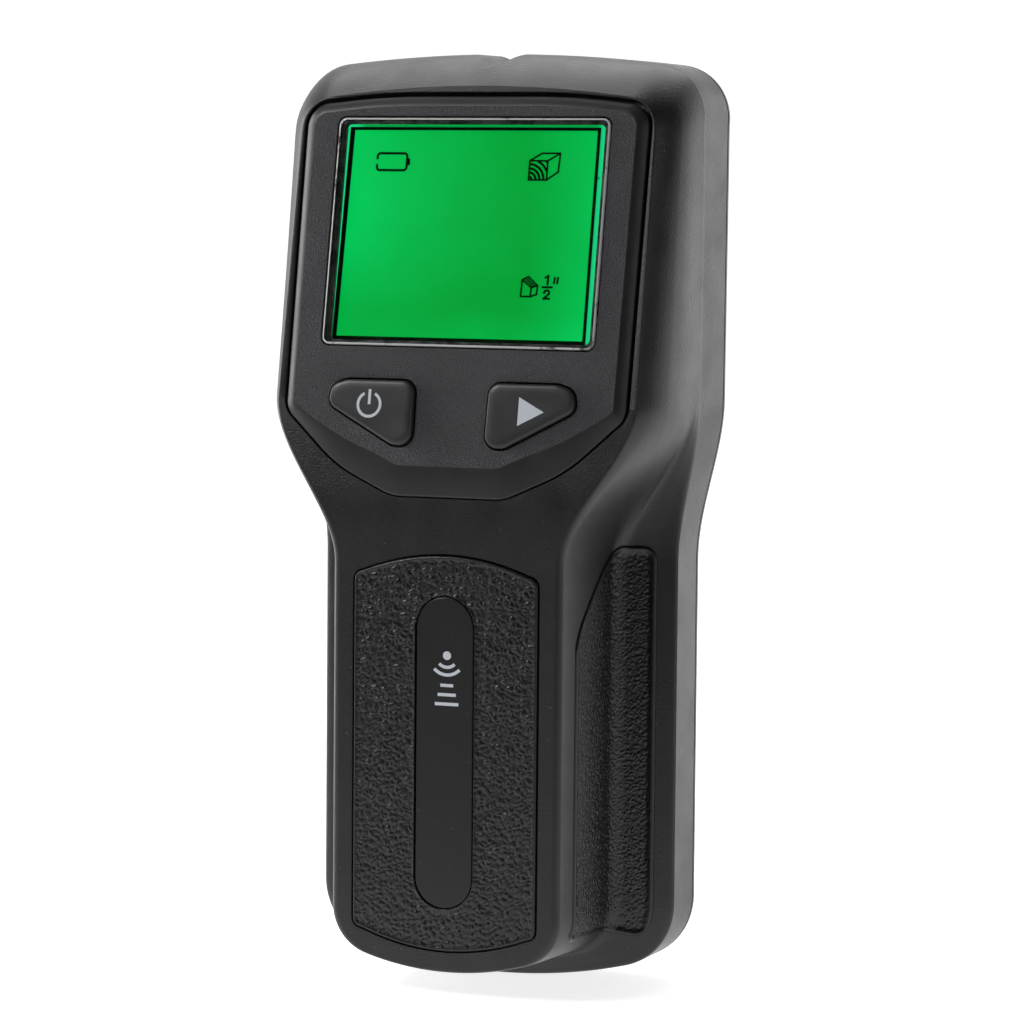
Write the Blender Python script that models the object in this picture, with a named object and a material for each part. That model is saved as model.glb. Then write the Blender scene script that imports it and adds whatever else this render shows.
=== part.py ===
"""Hand-held stud finder, built as the separate pieces that come apart on a bench.

The tool stands upright: +Z runs from the grip to the head, the display faces -Y, and the flat
sensing back that slides over a wall faces +Y. The origin is below the middle of the tool, at its
lowest point. All named sizes are millimetres; MM turns them into metres.
"""

import math

import bmesh
import bpy
from mathutils import Matrix

MM = 0.001
GAP = 0.3  # running or assembly gap between neighbouring pieces

# Whole tool
HEIGHT = 161.0
FRONT_Y = -17.5  # front plane of the grip
BACK_Y = 17.5
SHOULDER_Y = 5.84  # front edge of the straight wall that runs all round
SEAM_Y = 15.2  # where the front shell ends
WALL = 2.0
FRONT_WALL = 2.8
CROWN_WALL = 4.4  # thicker top, so that the marking notch doesn't break through

# Half widths at the two ends of the tool
GRIP_FRONT, GRIP_BASE = 21.25, 33.3
HEAD_FRONT, HEAD_BASE = 33.15, 37.15
WAIST_LOW, WAIST_HIGH = 73.9, 101.9
HEAD_TAPER = (-0.008, 0.005)  # growth of the front and the wall for each millimetre above the waist
WALL_FLARE = 0.7  # how far the head's straight wall leans outwards

# Ends
BLOCK_LIFT = 3.9  # the front block ends this much above the wall's lower end
CROWN_DROP = 5.7  # the head's front top edge lies this much below the crown
BOTTOM_RADII = (52.0, 98.0)  # end curve at the front block and at the wall
BOTTOM_CORNERS = (8.4, 11.8)
TOP_RADII = (205.0, 262.0)
TOP_CORNERS = (5.5, 9.3)

# Display tile, which leans back
TILT_RISE = 0.1804
TILT = math.atan(TILT_RISE)
WINDOW_Z = 130.35
WINDOW_SIZE = (50.8, 40.0)
TILE_THICK = 2.6
TILE_PROUD = 1.2  # the tile stands this far in front of the shell's rim
TILE_SLOT = 0.85  # groove between the tile and the shell
FACE_Y = -10.39  # the tile's front at WINDOW_Z
LEDGE = 3.5  # the tile rests on this width of the shell
KEY_CLEARANCE = 0.35
KEY_TOP = -0.95  # how far the keys stand in front of the tile
# A key's rings from its flange to its top, as (inset from its outline, depth behind the tile)
KEY_PROFILE = ((-0.9, 3.9), (-0.9, 3.1), (0.0, 3.1), (0.0, -0.35), (0.25, -0.75), (0.75, KEY_TOP))

# Parts behind the tile: width, thickness, height
LCD_SIZE = (51.4, 1.8, 41.0)
LCD_OPENING = (48.4, 38.0)
GUIDE_SIZE = (51.0, 2.4, 38.6)
HOLDER_SIZE = (55.4, 5.9, 45.0)
LED_SIZE = (3.2, 0.9, 1.6)
BOARD_WIDTH, BOARD_THICK = 55.0, 1.6

# Grip panels
PANEL_HALF, PANEL_LOW, PANEL_HIGH, PANEL_BULGE = 17.0, 11.4, 71.9, 3.7
PANEL_DEPTH, PANEL_PROUD = 1.3, 0.3
STRIP_HALF, STRIP_LOW, STRIP_HIGH = 5.3, 15.1, 68.6
SIDE_DEPTH, SIDE_PROUD = 0.85, 0.35
PAD_CLEARANCE = 0.35  # between a pad's edge and its recess

# Battery bay and its door
BATTERY = (26.2, 17.0, 46.2)
BAY_HALF, BAY_LOW, BAY_HIGH = 14.6, 10.6, 66.0
BAY_FLOOR_Y = -4.4
DOOR_HALF, DOOR_HIGH = 15.6, 68.5
HINGE_Y, HINGE_Z, HINGE_R = 15.9, 10.2, 1.6

NOTCH_HALF, NOTCH_DEPTH = 5.3, 2.5
SHELL_SCREWS = ((-31.4, 145.0), (31.4, 145.0), (-27.2, 17.0), (27.2, 17.0))
BOARD_SCREWS = (-26.8, -38.4)  # heights on the tilted board
SENSOR_SCREWS, SENSOR_SCREW_Z = (-26.0, 26.0), 110.0
SENSOR_BOARD, SENSOR_PLATE = (56.0, 1.4, 54.0), (10.0, 0.4, 36.0)
COIL_RADII, COIL_Z = (13.0, 10.0), 126.0


# ---------------------------------------------------------------- basics


def clear_scene():
    for item in list(bpy.data.objects):
        bpy.data.objects.remove(item)


def material(name, colour, roughness, metallic=0.0, alpha=1.0):
    found = bpy.data.materials.get(name)
    if found:
        return found
    made = bpy.data.materials.new(name)
    made.use_nodes = True
    shader = made.node_tree.nodes["Principled BSDF"]
    shader.inputs["Base Color"].default_value = (*colour, 1.0)
    shader.inputs["Roughness"].default_value = roughness
    shader.inputs["Metallic"].default_value = metallic
    shader.inputs["Alpha"].default_value = alpha
    made.diffuse_color = (*colour, alpha)
    return made


def lerp(a, b, t):
    return a + (b - a) * t


def smooth(t):
    t = min(max(t, 0.0), 1.0)
    return t * t * (3.0 - 2.0 * t)


def make(name, points, faces, skin=None, parent=None, soft_angle=32.0):
    """An object from points in millimetres, its faces turned outwards."""
    mesh = bpy.data.meshes.new(name)
    mesh.from_pydata([tuple(v * MM for v in p) for p in points], [], faces)
    work = bmesh.new()
    work.from_mesh(mesh)
    bmesh.ops.recalc_face_normals(work, faces=work.faces)
    work.to_mesh(mesh)
    work.free()
    mesh.shade_smooth()
    mesh.set_sharp_from_angle(angle=math.radians(soft_angle))
    item = bpy.data.objects.new(name, mesh)
    bpy.context.collection.objects.link(item)
    item.parent = parent
    if skin:
        mesh.materials.append(skin)
    return item


def stacked(name, rings, skin=None, parent=None, ends="flat"):
    """A closed solid through rings of points. Its ends are flat faces, or strips across a
    mirror-symmetric ring, or the last ring is joined to the first."""
    if ends == "joined":
        rings = rings + rings[:1]
    count = len(rings[0])
    points = [p for ring in rings for p in ring]
    faces = []
    for level in range(len(rings) - 1):
        low, high = level * count, (level + 1) * count
        for i in range(count):
            j = (i + 1) % count
            faces.append((low + i, low + j, high + j, high + i))
    for start in (0, (len(rings) - 1) * count):
        if ends == "strips":
            faces += across(start, count)
        if ends == "flat":
            faces.append(tuple(range(start, start + count)))
    if ends == "joined":
        last = (len(rings) - 1) * count
        points = points[:last]
        faces = [tuple(i % last for i in face) for face in faces]
    return make(name, points, faces, skin, parent)


def across(start, count):
    """Faces that join each point of a ring to its mirror image, from one end to the other."""
    half = count // 2
    faces = [(start, start + 1, start + count - 1)]
    for i in range(1, half - 1):
        faces.append((start + i, start + i + 1, start + count - i - 1, start + count - i))
    faces.append((start + half - 1, start + half, start + half + 1))
    return faces


def prism(name, outline, near, far, skin=None, parent=None):
    """An outline of (x, z) points pushed along Y from near to far."""
    return stacked(name, [[(x, y, z) for x, z in outline] for y in (near, far)], skin, parent)


def block(name, size, centre, skin=None, parent=None, edge=0.0):
    """A box; edge rounds its four edges along Y."""
    return prism(
        name,
        rounded(size[0], size[2], edge, (centre[0], centre[2])),
        centre[1] - size[1] / 2,
        centre[1] + size[1] / 2,
        skin,
        parent,
    )


def disc(name, radius, centre, near, far, skin=None, parent=None, sides=24):
    """A cylinder along Y."""
    return prism(name, circle(radius, centre, sides), near, far, skin, parent)


def circle(radius, centre, sides=24):
    turn = 2 * math.pi / sides
    return [
        (centre[0] + radius * math.cos(i * turn), centre[1] + radius * math.sin(i * turn))
        for i in range(sides)
    ]


def rounded(width, height, radius, centre=(0.0, 0.0), steps=4):
    """A rectangle's outline with round corners."""
    corners = [(1, -1), (1, 1), (-1, 1), (-1, -1)]
    if radius <= 0:
        return [(centre[0] + sx * width / 2, centre[1] + sz * height / 2) for sx, sz in corners]
    outline = []
    for turn, (sx, sz) in enumerate(corners):
        x = centre[0] + sx * (width / 2 - radius)
        z = centre[1] + sz * (height / 2 - radius)
        for step in range(steps + 1):
            angle = math.radians(-90 + 90 * turn + 90 * step / steps)
            outline.append((x + radius * math.cos(angle), z + radius * math.sin(angle)))
    return outline


def softened(corners, steps=5):
    """A closed outline from (x, z, radius) corners, each turned into an arc."""
    outline = []
    for i, (x, z, radius) in enumerate(corners):
        before, after = corners[i - 1], corners[(i + 1) % len(corners)]
        into = unit(x - before[0], z - before[1])
        out = unit(after[0] - x, after[1] - z)
        bend = math.atan2(into[0] * out[1] - into[1] * out[0], into[0] * out[0] + into[1] * out[1])
        side = math.copysign(1.0, bend)
        run = radius * math.tan(abs(bend) / 2)
        from_x, from_z = x - into[0] * run, z - into[1] * run
        centre = (from_x - into[1] * radius * side, from_z + into[0] * radius * side)
        start = math.atan2(from_z - centre[1], from_x - centre[0])
        for step in range(steps + 1):
            angle = start + bend * step / steps
            outline.append((centre[0] + radius * math.cos(angle), centre[1] + radius * math.sin(angle)))
    return outline


def unit(x, z):
    length = math.hypot(x, z)
    return x / length, z / length


def shrunk(outline, inset):
    """An anticlockwise outline moved inwards; inset is a number or a function of (x, z)."""
    moved = []
    for i, (x, z) in enumerate(outline):
        before, after = outline[i - 1], outline[(i + 1) % len(outline)]
        a = unit(x - before[0], z - before[1])
        b = unit(after[0] - x, after[1] - z)
        normal = unit(-a[1] - b[1], a[0] + b[0])
        amount = inset(x, z) if callable(inset) else inset
        amount /= max(0.5, -a[1] * normal[0] + a[0] * normal[1])
        moved.append((x + normal[0] * amount, z + normal[1] * amount))
    return moved


def combine(item, tool, operation):
    """Adds or cuts with another object, which becomes a hidden tool."""
    tool.hide_render = True
    tool.display_type = "WIRE"
    change = item.modifiers.new(tool.name, "BOOLEAN")
    change.operation = operation
    change.solver = "EXACT"
    change.object = tool


def cut(item, *tools):
    for tool in tools:
        combine(item, tool, "DIFFERENCE")


def join(item, *tools):
    for tool in tools:
        combine(item, tool, "UNION")


# ---------------------------------------------------------------- outer form


def front_y(z):
    """The shell's front surface: flat along the grip, leaning back under the tile."""
    lean = FACE_Y + TILE_PROUD + (z - WINDOW_Z) * TILT_RISE
    blend = 0.6  # softness of the bend between the two planes
    return 0.5 * (lean + FRONT_Y + math.hypot(lean - FRONT_Y, blend))


def waist(z):
    return smooth((z - WAIST_LOW) / (WAIST_HIGH - WAIST_LOW))


def between(a, b, t):
    return tuple(lerp(p, q, t) for p, q in zip(a, b))


def head_out(u):
    """How far the head's side stands outside its front edge, at a share of its depth."""
    return (HEAD_BASE - HEAD_FRONT) * (0.18 * u + 0.82 * (1 - (1 - u) ** 4.4))


def shell_layers():
    """Rings from the front face's edge to the seam: the grip's half width and depth share, the
    head's half width and depth share, and how far the ring lies behind its depth."""
    edge = 1.4
    sections = []
    for step, u in enumerate((0.0, 0.01, 0.05, 0.11)):
        angle = math.radians(30 * step)
        y = FRONT_Y + edge * (1 - math.cos(angle))
        sections.append((GRIP_FRONT - edge + edge * math.sin(angle), y, u))
    sections += [(GRIP_FRONT + 0.35, -11.9, 0.19), (GRIP_FRONT + 0.85, -5.0, 0.29)]
    scoop = scoop_points()
    for i, (x, y) in enumerate(scoop):
        sections.append((x, y, lerp(0.39, 0.84, i / (len(scoop) - 1))))
    sections += [(29.9, 5.05, 0.91), (GRIP_BASE - 0.4, 5.74, 0.985)]
    layers = []
    for x, y, u in sections:
        out = head_out(u) if u else -0.1
        layers.append((x, depth_share(y), HEAD_FRONT + out, u, 0.0))
    layers.append((GRIP_BASE, 1.0, HEAD_BASE, 1.0, 0.36))
    layers.append((GRIP_BASE, 1.0, HEAD_BASE + WALL_FLARE, 1.0, SEAM_Y - SHOULDER_Y))
    return layers


def depth_share(y):
    return (y - FRONT_Y) / (SHOULDER_Y - FRONT_Y)


def scoop_points():
    """The hollow corner between the front block and the wall, where fingers hold the grip."""
    corner, radius = (22.9, 3.4), 3.5
    side = unit(corner[0] - 22.1, corner[1] + 5.0)
    slope = unit(GRIP_BASE - 0.4 - corner[0], 5.74 - corner[1])
    bend = math.acos(side[0] * slope[0] + side[1] * slope[1])
    run = radius * math.tan(bend / 2)
    centre = (corner[0] - side[0] * run + side[1] * radius, corner[1] - side[1] * run - side[0] * radius)
    start = math.atan2(side[0], -side[1])
    steps = 4
    return [
        (
            centre[0] + radius * math.cos(start - bend * i / steps),
            centre[1] + radius * math.sin(start - bend * i / steps),
        )
        for i in range(steps + 1)
    ]


def half_width(ring, z):
    taper = lerp(*HEAD_TAPER, ring[3]) * max(0.0, z - WAIST_HIGH)
    return lerp(ring[0], ring[2], waist(z)) + taper


def ring_y(ring, z, inwards=0.0):
    share = lerp(ring[1], ring[3], waist(z))
    front = front_y(z)
    return min(front + ring[4] + share * (SHOULDER_Y - front) + inwards, SEAM_Y)


def corner_arc(half, arc, corner):
    """Where a round corner leaves an end curve: its x, the curve's slope there and its rise."""
    x = half - corner
    for _ in range(4):
        slope = math.asin(x / arc)
        x = half - corner * (1 - math.sin(slope))
    return x, slope, arc * (1 - math.cos(slope))


def end_sizes(ring):
    """Heights, end curves and corners of one ring."""
    share = min(max((ring[0] - GRIP_FRONT) / (GRIP_BASE - GRIP_FRONT), 0.0), 1.0)
    bottom = BLOCK_LIFT * (GRIP_BASE - ring[0]) / (GRIP_BASE - GRIP_FRONT)
    top = HEIGHT - CROWN_DROP * (1 - min(ring[3], 1.0)) ** 1.7
    return (
        (bottom, lerp(*BOTTOM_RADII, share), lerp(*BOTTOM_CORNERS, share)),
        (top, lerp(*TOP_RADII, ring[3]), lerp(*TOP_CORNERS, 1 - (1 - ring[3]) ** 4)),
    )


def ring_point(ring, tau, inset=(0.0, 0.0, 0.0)):
    """A point (x, z) of a ring's right half. tau runs 0-1 along the bottom, 1-2 round its corner,
    2-3 up the side, 3-4 round the top corner and 4-5 along the top. inset is taken from the side,
    the bottom and the top."""
    (low, low_arc, low_corner), (high, high_arc, high_corner) = end_sizes(ring)
    low, high = low + inset[1], high - inset[2]
    low_corner, high_corner = max(low_corner - inset[0], 1.0), max(high_corner - inset[0], 1.0)
    low_half = half_width(ring, low) - inset[0]
    high_half = half_width(ring, high) - inset[0]
    low_x, low_slope, low_rise = corner_arc(low_half, low_arc, low_corner)
    high_x, high_slope, high_rise = corner_arc(high_half, high_arc, high_corner)
    low_z = low + low_rise + low_corner * math.cos(low_slope)
    high_z = high - high_rise - high_corner * math.cos(high_slope)
    if tau <= 1:
        x = low_x * tau
        return x, low + low_arc - math.sqrt(low_arc**2 - x**2)
    if tau <= 2:
        angle = (tau - 2) * (math.pi / 2 - low_slope)
        return (
            low_half - low_corner + low_corner * math.cos(angle),
            low_z + low_corner * math.sin(angle),
        )
    if tau < 3:
        z = lerp(low_z, high_z, tau - 2)
        return half_width(ring, z) - inset[0], z
    if tau <= 4:
        angle = (tau - 3) * (math.pi / 2 - high_slope)
        return (
            high_half - high_corner + high_corner * math.cos(angle),
            high_z + high_corner * math.sin(angle),
        )
    x = high_x * (5 - tau)
    return x, high - high_arc + math.sqrt(high_arc**2 - x**2)


def taus():
    """Places along a ring's right half: close together round the corners and the waist."""
    ends = [i / 5 for i in range(5)]
    corner = [i / 5 for i in range(5)]
    side = [0.0, 0.13, 0.26] + [0.39 + 0.29 * i / 13 for i in range(14)] + [0.79, 0.9]
    places = ends + [1 + t for t in corner] + [2 + t for t in side]
    return places + [3 + t for t in corner] + [4 + t for t in ends] + [5.0]


def full_ring(ring, inset=(0.0, 0.0, 0.0), inwards=0.0, y=None):
    """A closed ring of (x, y, z) points, mirror-symmetric about X = 0."""
    right = []
    for tau in taus():
        x, z = ring_point(ring, tau, inset)
        right.append((x, ring_y(ring, z, inwards) if y is None else y, z))
    left = [(-x, depth, z) for x, depth, z in reversed(right[1:-1])]
    return right + left


# ---------------------------------------------------------------- shells


def hollow_shell(name, skin):
    """The front shell's skin: outer rings forwards to back, then inner rings back to front."""
    layers = shell_layers()
    outer = [full_ring(ring) for ring in layers]
    inset = (WALL, WALL, CROWN_WALL)
    kept = [layers[i] for i in (0, 4, 6, 8, 10, 11, 12)]
    inner = [full_ring(ring, inset, FRONT_WALL) for ring in kept]
    inner.append(full_ring(layers[-1], inset))
    return stacked(name, outer + inner[::-1], skin, ends="strips")


def notch_tool(name):
    """The smooth V across the crown that guides a pencil."""
    steps = 12
    low = HEIGHT - NOTCH_DEPTH
    outline = []
    for i in range(steps + 1):
        x = NOTCH_HALF * (2 * i / steps - 1)
        share = abs(x) / NOTCH_HALF
        outline.append((x, low + NOTCH_DEPTH * 1.02 * (1 - math.cos(math.pi * share**0.9)) / 2))
    outline += [(NOTCH_HALF + 1.0, HEIGHT + 2.0), (-NOTCH_HALF - 1.0, HEIGHT + 2.0)]
    return prism(name, outline, -12.0, BACK_Y + 3.0)


def front_shell(frame, plastic):
    """The housing that shows from the front, with places for the tile, the pads and the screws."""
    shell = hollow_shell("front_shell", plastic)
    for i, (x, z) in enumerate(SHELL_SCREWS):
        start = front_y(z) + 2.4 if z > WAIST_HIGH else 6.2
        join(shell, disc(f"tool_post_{i}", 3.0, (x, z), start, 12.6, sides=20))
    recess = on_tile(tile_outline(), -6.0, TILE_THICK + GAP)
    opening = on_tile(shrunk(tile_outline(), LEDGE), -6.0, 8.0)
    cut(shell, stacked("tool_tile_recess", recess), stacked("tool_tile_opening", opening))
    room = (HOLDER_SIZE[0] + 0.8, 14.0, HOLDER_SIZE[2] + 0.9)
    cut(shell, block("tool_holder_room", room, (0, 5.0, 0), parent=frame, edge=1.4))
    cut(shell, prism("tool_panel_recess", panel_outline(PAD_CLEARANCE), -25.0, FRONT_Y + PANEL_DEPTH))
    for side in (1, -1):
        cut(shell, side_pad(f"tool_side_recess_{side}", side, SIDE_DEPTH + GAP, 2.0, PAD_CLEARANCE))
    for i, (x, z) in enumerate(SHELL_SCREWS):
        start = 5.0 if z > WAIST_HIGH else 7.6
        cut(shell, disc(f"tool_post_hole_{i}", 1.45, (x, z), start, 14.0, sides=16))
    cut(shell, notch_tool("tool_notch_front"))
    return shell


def rear_shell(plastic):
    """The back plate with its tongue, battery bay, board posts and screw wells."""
    base = shell_layers()[-1]
    edge = 1.5
    rings = [full_ring(base, y=SEAM_Y + GAP)]
    for angle in (0, 30, 60, 90):
        turn = math.radians(angle)
        back = edge * (1 - math.cos(turn))
        rings.append(full_ring(base, (back, back, back), y=BACK_Y - edge + edge * math.sin(turn)))
    shell = stacked("rear_shell", rings, plastic, ends="strips")
    join(shell, tongue(base), *bay_blocks())
    cut(shell, *bay_rooms())
    for i, (x, z) in enumerate(SHELL_SCREWS):
        join(shell, disc(f"tool_boss_{i}", 3.6, (x, z), 13.4, 16.2, sides=20))
        cut(shell, disc(f"tool_well_{i}", 2.9, (x, z), 15.1, 20.0, sides=20))
        cut(shell, disc(f"tool_pass_{i}", 1.5, (x, z), 12.0, 16.0, sides=16))
    for i, x in enumerate(SENSOR_SCREWS):
        at = (x, SENSOR_SCREW_Z)
        join(shell, disc(f"tool_sensor_post_{i}", 2.3, at, 12.8, 16.2, sides=16))
        cut(shell, disc(f"tool_sensor_hole_{i}", 1.1, at, 12.0, 16.5, sides=12))
    cut(shell, notch_tool("tool_notch_rear"))
    return shell


def tongue(base):
    """The rim that locates the back plate inside the front shell."""
    outside = (WALL + GAP, WALL + GAP, CROWN_WALL + GAP)
    inside = tuple(v + 1.2 for v in outside)
    near, far = 13.0, 15.9
    corners = ((outside, near), (outside, far), (inside, far), (inside, near))
    rings = [full_ring(base, inset, y=y) for inset, y in corners]
    return stacked("tool_lip", rings, ends="joined")


def bay_blocks():
    """The battery bay's walls, and the thicker collar that the door closes on."""
    wall, middle, tall = 1.4, (BAY_LOW + BAY_HIGH) / 2, BAY_HIGH - BAY_LOW
    near, far = BAY_FLOOR_Y - wall, 15.8
    walls = block(
        "tool_bay",
        (2 * (BAY_HALF + wall), far - near, tall + 2 * wall),
        (0, (near + far) / 2, middle),
        edge=1.2,
    )
    low, high = HINGE_Z - HINGE_R - 2.2, DOOR_HIGH + 2.0
    collar = block("tool_collar", (2 * 18.2, 3.0, high - low), (0, 14.7, (low + high) / 2), edge=1.0)
    return walls, collar


def bay_rooms():
    """The battery's room, the leads' gap, the door's place and the sockets of its hinge pins."""
    middle, tall = (BAY_LOW + BAY_HIGH) / 2, BAY_HIGH - BAY_LOW
    room = block("tool_bay_room", (2 * BAY_HALF, 30.0, tall), (0, BAY_FLOOR_Y + 15.0, middle), edge=0.6)
    leads = block("tool_bay_leads", (12.0, 6.0, 6.0), (0, 3.0, BAY_HIGH + 1.0))
    low, high = HINGE_Z - HINGE_R - GAP, DOOR_HIGH + GAP
    width = 2 * (DOOR_HALF + GAP)
    place = block("tool_door_place", (width, 4.0, high - low), (0, 17.3, (low + high) / 2), edge=0.3)
    toe = block("tool_toe_room", (width - 0.1, 4.5, 3.4), (0, 15.75, low + 1.8))
    pins = cross_pin("tool_pin_sockets", 2 * (DOOR_HALF + 1.8), 0.9 + GAP)
    return room, leads, place, toe, pins


def cross_pin(name, length, radius, skin=None):
    """A pin along X on the door's hinge axis."""
    sides = 16
    rings = []
    for x in (-length / 2, length / 2):
        ring = []
        for y, z in circle(radius, (HINGE_Y, HINGE_Z), sides):
            ring.append((x, y, z))
        rings.append(ring)
    return stacked(name, rings, skin)


# ---------------------------------------------------------------- display tile


def tile_outline():
    """The recess that the tile lies in, seen square to the grip, anticlockwise."""
    right = [
        (10.5, 85.25, 9.0),
        (21.4, 90.2, 26.0),
        (31.75, 99.6, 4.2),
        (32.15, 152.45, 4.6),
        (17.0, 154.1, 120.0),
    ]
    left = [(-x, z, r) for x, z, r in reversed(right)]
    return softened(right + left)


def on_tile(outline, near, far):
    """Two rings of an upright outline laid on the tile's leaning plane."""
    rings = []
    for depth in (near, far):
        rings.append([(x, face_y(z) + depth, z) for x, z in outline])
    return rings


def face_y(z):
    return FACE_Y + (z - WINDOW_Z) * TILT_RISE


def tilted_frame():
    """The display's own frame: X across, Y into the tool, Z up along the tile."""
    frame = bpy.data.objects.new("display_frame", None)
    bpy.context.collection.objects.link(frame)
    frame.location = (0, FACE_Y * MM, WINDOW_Z * MM)
    frame.rotation_euler = (-TILT, 0, 0)
    return frame


def up_tile(z):
    """A height on the tool as a distance up the tile from the window's middle."""
    return (z - WINDOW_Z) / math.cos(TILT)


def crescent(x, z):
    """The tile's bevel: narrow at the sides, wide under the buttons."""
    return 1.5 + 3.2 * smooth((up_tile(101.0) - z) / 14.0)


def face_plate(frame, plastic):
    slot = shrunk([(x, up_tile(z)) for x, z in tile_outline()], TILE_SLOT)
    front = shrunk(slot, crescent)
    rings = [
        [(x, TILE_THICK, z) for x, z in slot],
        [(x, 1.1, z) for x, z in slot],
        [(x, 0.25, z) for x, z in shrunk(slot, lambda a, b: 0.35 * crescent(a, b))],
        [(x, 0.0, z) for x, z in front],
    ]
    plate = stacked("face_plate", rings, plastic, frame)
    for i, z in enumerate(BOARD_SCREWS):
        join(plate, disc(f"tool_board_post_{i}", 2.5, (0, z), 2.0, 9.2, parent=frame, sides=16))
        cut(plate, disc(f"tool_board_hole_{i}", 1.15, (0, z), 4.0, 12.0, parent=frame, sides=12))
    width, height = WINDOW_SIZE
    cut(plate, block("tool_window_seat", (width, 3.5, height), (0, 0.0, 0), parent=frame, edge=1.6))
    cut(plate, block("tool_window_view", (47.7, 9.0, 37.4), (0, 0.0, 0), parent=frame, edge=0.8))
    for side, name in ((-1, "left"), (1, "right")):
        opening = shrunk(button_outline(side), -KEY_CLEARANCE)
        cut(plate, prism(f"tool_key_{name}", opening, -4.0, 9.0, parent=frame))
    return plate


def button_outline(side):
    """Straight top, upright inner edge and a slanting lower edge, all with round corners."""
    top, tip, low = up_tile(105.0), up_tile(101.3), up_tile(94.1)
    corners = [(6.7, low - 0.2, 2.4), (10.4, low, 2.6), (22.9, tip - 0.6, 2.2), (22.2, top - 0.9, 2.2)]
    corners += [(19.4, top, 4.0), (6.9, top, 2.2)]
    outline = softened(corners, 4)
    if side > 0:
        return outline
    return [(-x, z) for x, z in reversed(outline)]


def button(name, side, frame, plastic):
    """A key cap: a soft-edged top, and a flange that keeps it in the plate."""
    outline = button_outline(side)
    rings = []
    for inset, depth in KEY_PROFILE:
        rings.append([(x, depth, z) for x, z in shrunk(outline, inset)])
    return stacked(name, rings, plastic, frame)


def display_stack(frame, skins):
    """Window, gasket, liquid crystal panel, light guide, holder and contact strip."""
    width, height = WINDOW_SIZE
    block("display_window", (width - 0.5, 1.6, height - 0.5), (0, 0.62, 0), skins["clear"], frame, 1.4)
    wide, thick, tall = LCD_SIZE
    gasket = block("display_gasket", (wide, 0.4, tall), (0, 3.1, 0), skins["foam"], frame, 1.0)
    hole = (LCD_OPENING[0], 2.0, LCD_OPENING[1])
    cut(gasket, block("tool_gasket", hole, (0, 3.1, 0), parent=frame, edge=0.6))
    block("lcd_panel", LCD_SIZE, (0, 3.6 + thick / 2, 0), skins["lcd"], frame, 0.3)
    block("light_guide", GUIDE_SIZE, (0, 6.9, 1.2), skins["guide"], frame, 0.4)
    block("contact_strip", (44.0, 2.9, 1.7), (0, 7.15, -19.4), skins["zebra"], frame, 0.3)
    holder = block("lcd_holder", HOLDER_SIZE, (0, 6.15, 0), skins["white"], frame, 1.2)
    inside = (wide + 2 * GAP, 12.0, tall + 2 * GAP)
    cut(holder, block("tool_holder", inside, (0, 6.15, 0), parent=frame, edge=0.6))
    for name, x in (("left", -13.0), ("right", 13.0)):
        block(f"backlight_led_{name}", LED_SIZE, (x, 8.85, 12.0), skins["led"], frame)


def main_board(frame, skins):
    """The circuit board behind the display, with its switches, chip, buzzer and screws."""
    low, high = up_tile(90.6), up_tile(152.5)
    size = (BOARD_WIDTH, BOARD_THICK, high - low)
    board = block("main_board", size, (0, 10.4, (low + high) / 2), skins["board"], frame, 1.5)
    for i, z in enumerate(BOARD_SCREWS):
        cut(board, disc(f"tool_board_pass_{i}", 1.3, (0, z), 8.0, 13.0, parent=frame, sides=12))
        screw(f"board_screw_{i + 1}", (0, z), 13.1, 11.5, 5.6, (2.0, 0.8), skins["steel"], frame)
    for side, word in ((-1, "power"), (1, "select")):
        x, z = 14.2 * side, up_tile(100.2)
        block(f"{word}_switch", (6.0, 1.9, 6.0), (x, 8.3, z), skins["switch"], frame, 0.5)
        block(f"{word}_plunger", (3.0, 2.2, 3.0), (x, 5.4, z), skins["plunger"], frame, 1.2)
    block("controller_chip", (10.0, 1.4, 10.0), (-11.0, 12.3, up_tile(128.0)), skins["chip"], frame, 0.4)
    disc("buzzer", 6.0, (14.0, up_tile(120.0)), 11.6, 16.0, skins["chip"], frame, 28)


def screw(name, at, head_back, head_front, tip, radii, steel, frame=None):
    """A screw along Y with a crossed head; radii are the head's and the shank's."""
    x, z = at
    rings = []
    wide, thin = radii
    way = math.copysign(1.0, head_back - tip)
    edge = 0.35
    for radius, y in (
        (thin * 0.55, tip),
        (thin, tip + way),
        (thin, head_front),
        (wide, head_front),
        (wide, head_back - edge * way),
        (wide - edge, head_back),
    ):
        rings.append([(px, y, pz) for px, pz in circle(radius, (x, z), 16)])
    body = stacked(name, rings, steel, frame)
    for turn in (0, 1):
        size = (wide * 1.3, 1.2, 0.5) if turn else (0.5, 1.2, wide * 1.3)
        cut(body, block(f"tool_{name}_{turn}", size, (x, head_back, z), parent=frame))
    return body


# ---------------------------------------------------------------- grip


def panel_outline(grow=0.0):
    """The front grip panel: straight sides with bulging ends."""
    half = PANEL_HALF
    steps = 8
    outline = []
    for i in range(steps + 1):
        x = lerp(-half + 1.2, half - 1.2, i / steps)
        outline.append((x, PANEL_LOW - PANEL_BULGE * (1 - (x / half) ** 2)))
    outline += [(half, PANEL_LOW + 1.2), (half, PANEL_HIGH - 1.2)]
    for i in range(steps + 1):
        x = lerp(half - 1.2, -half + 1.2, i / steps)
        outline.append((x, PANEL_HIGH + PANEL_BULGE * (1 - (x / half) ** 2)))
    outline += [(-half, PANEL_HIGH - 1.2), (-half, PANEL_LOW + 1.2)]
    return shrunk(outline, -grow)


def obround(half, low, high, steps=10):
    ends = []
    for centre, start in ((low + half, math.pi), (high - half, 0.0)):
        for i in range(steps + 1):
            angle = start + math.pi * i / steps
            ends.append((half * math.cos(angle), centre + half * math.sin(angle)))
    return ends


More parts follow.
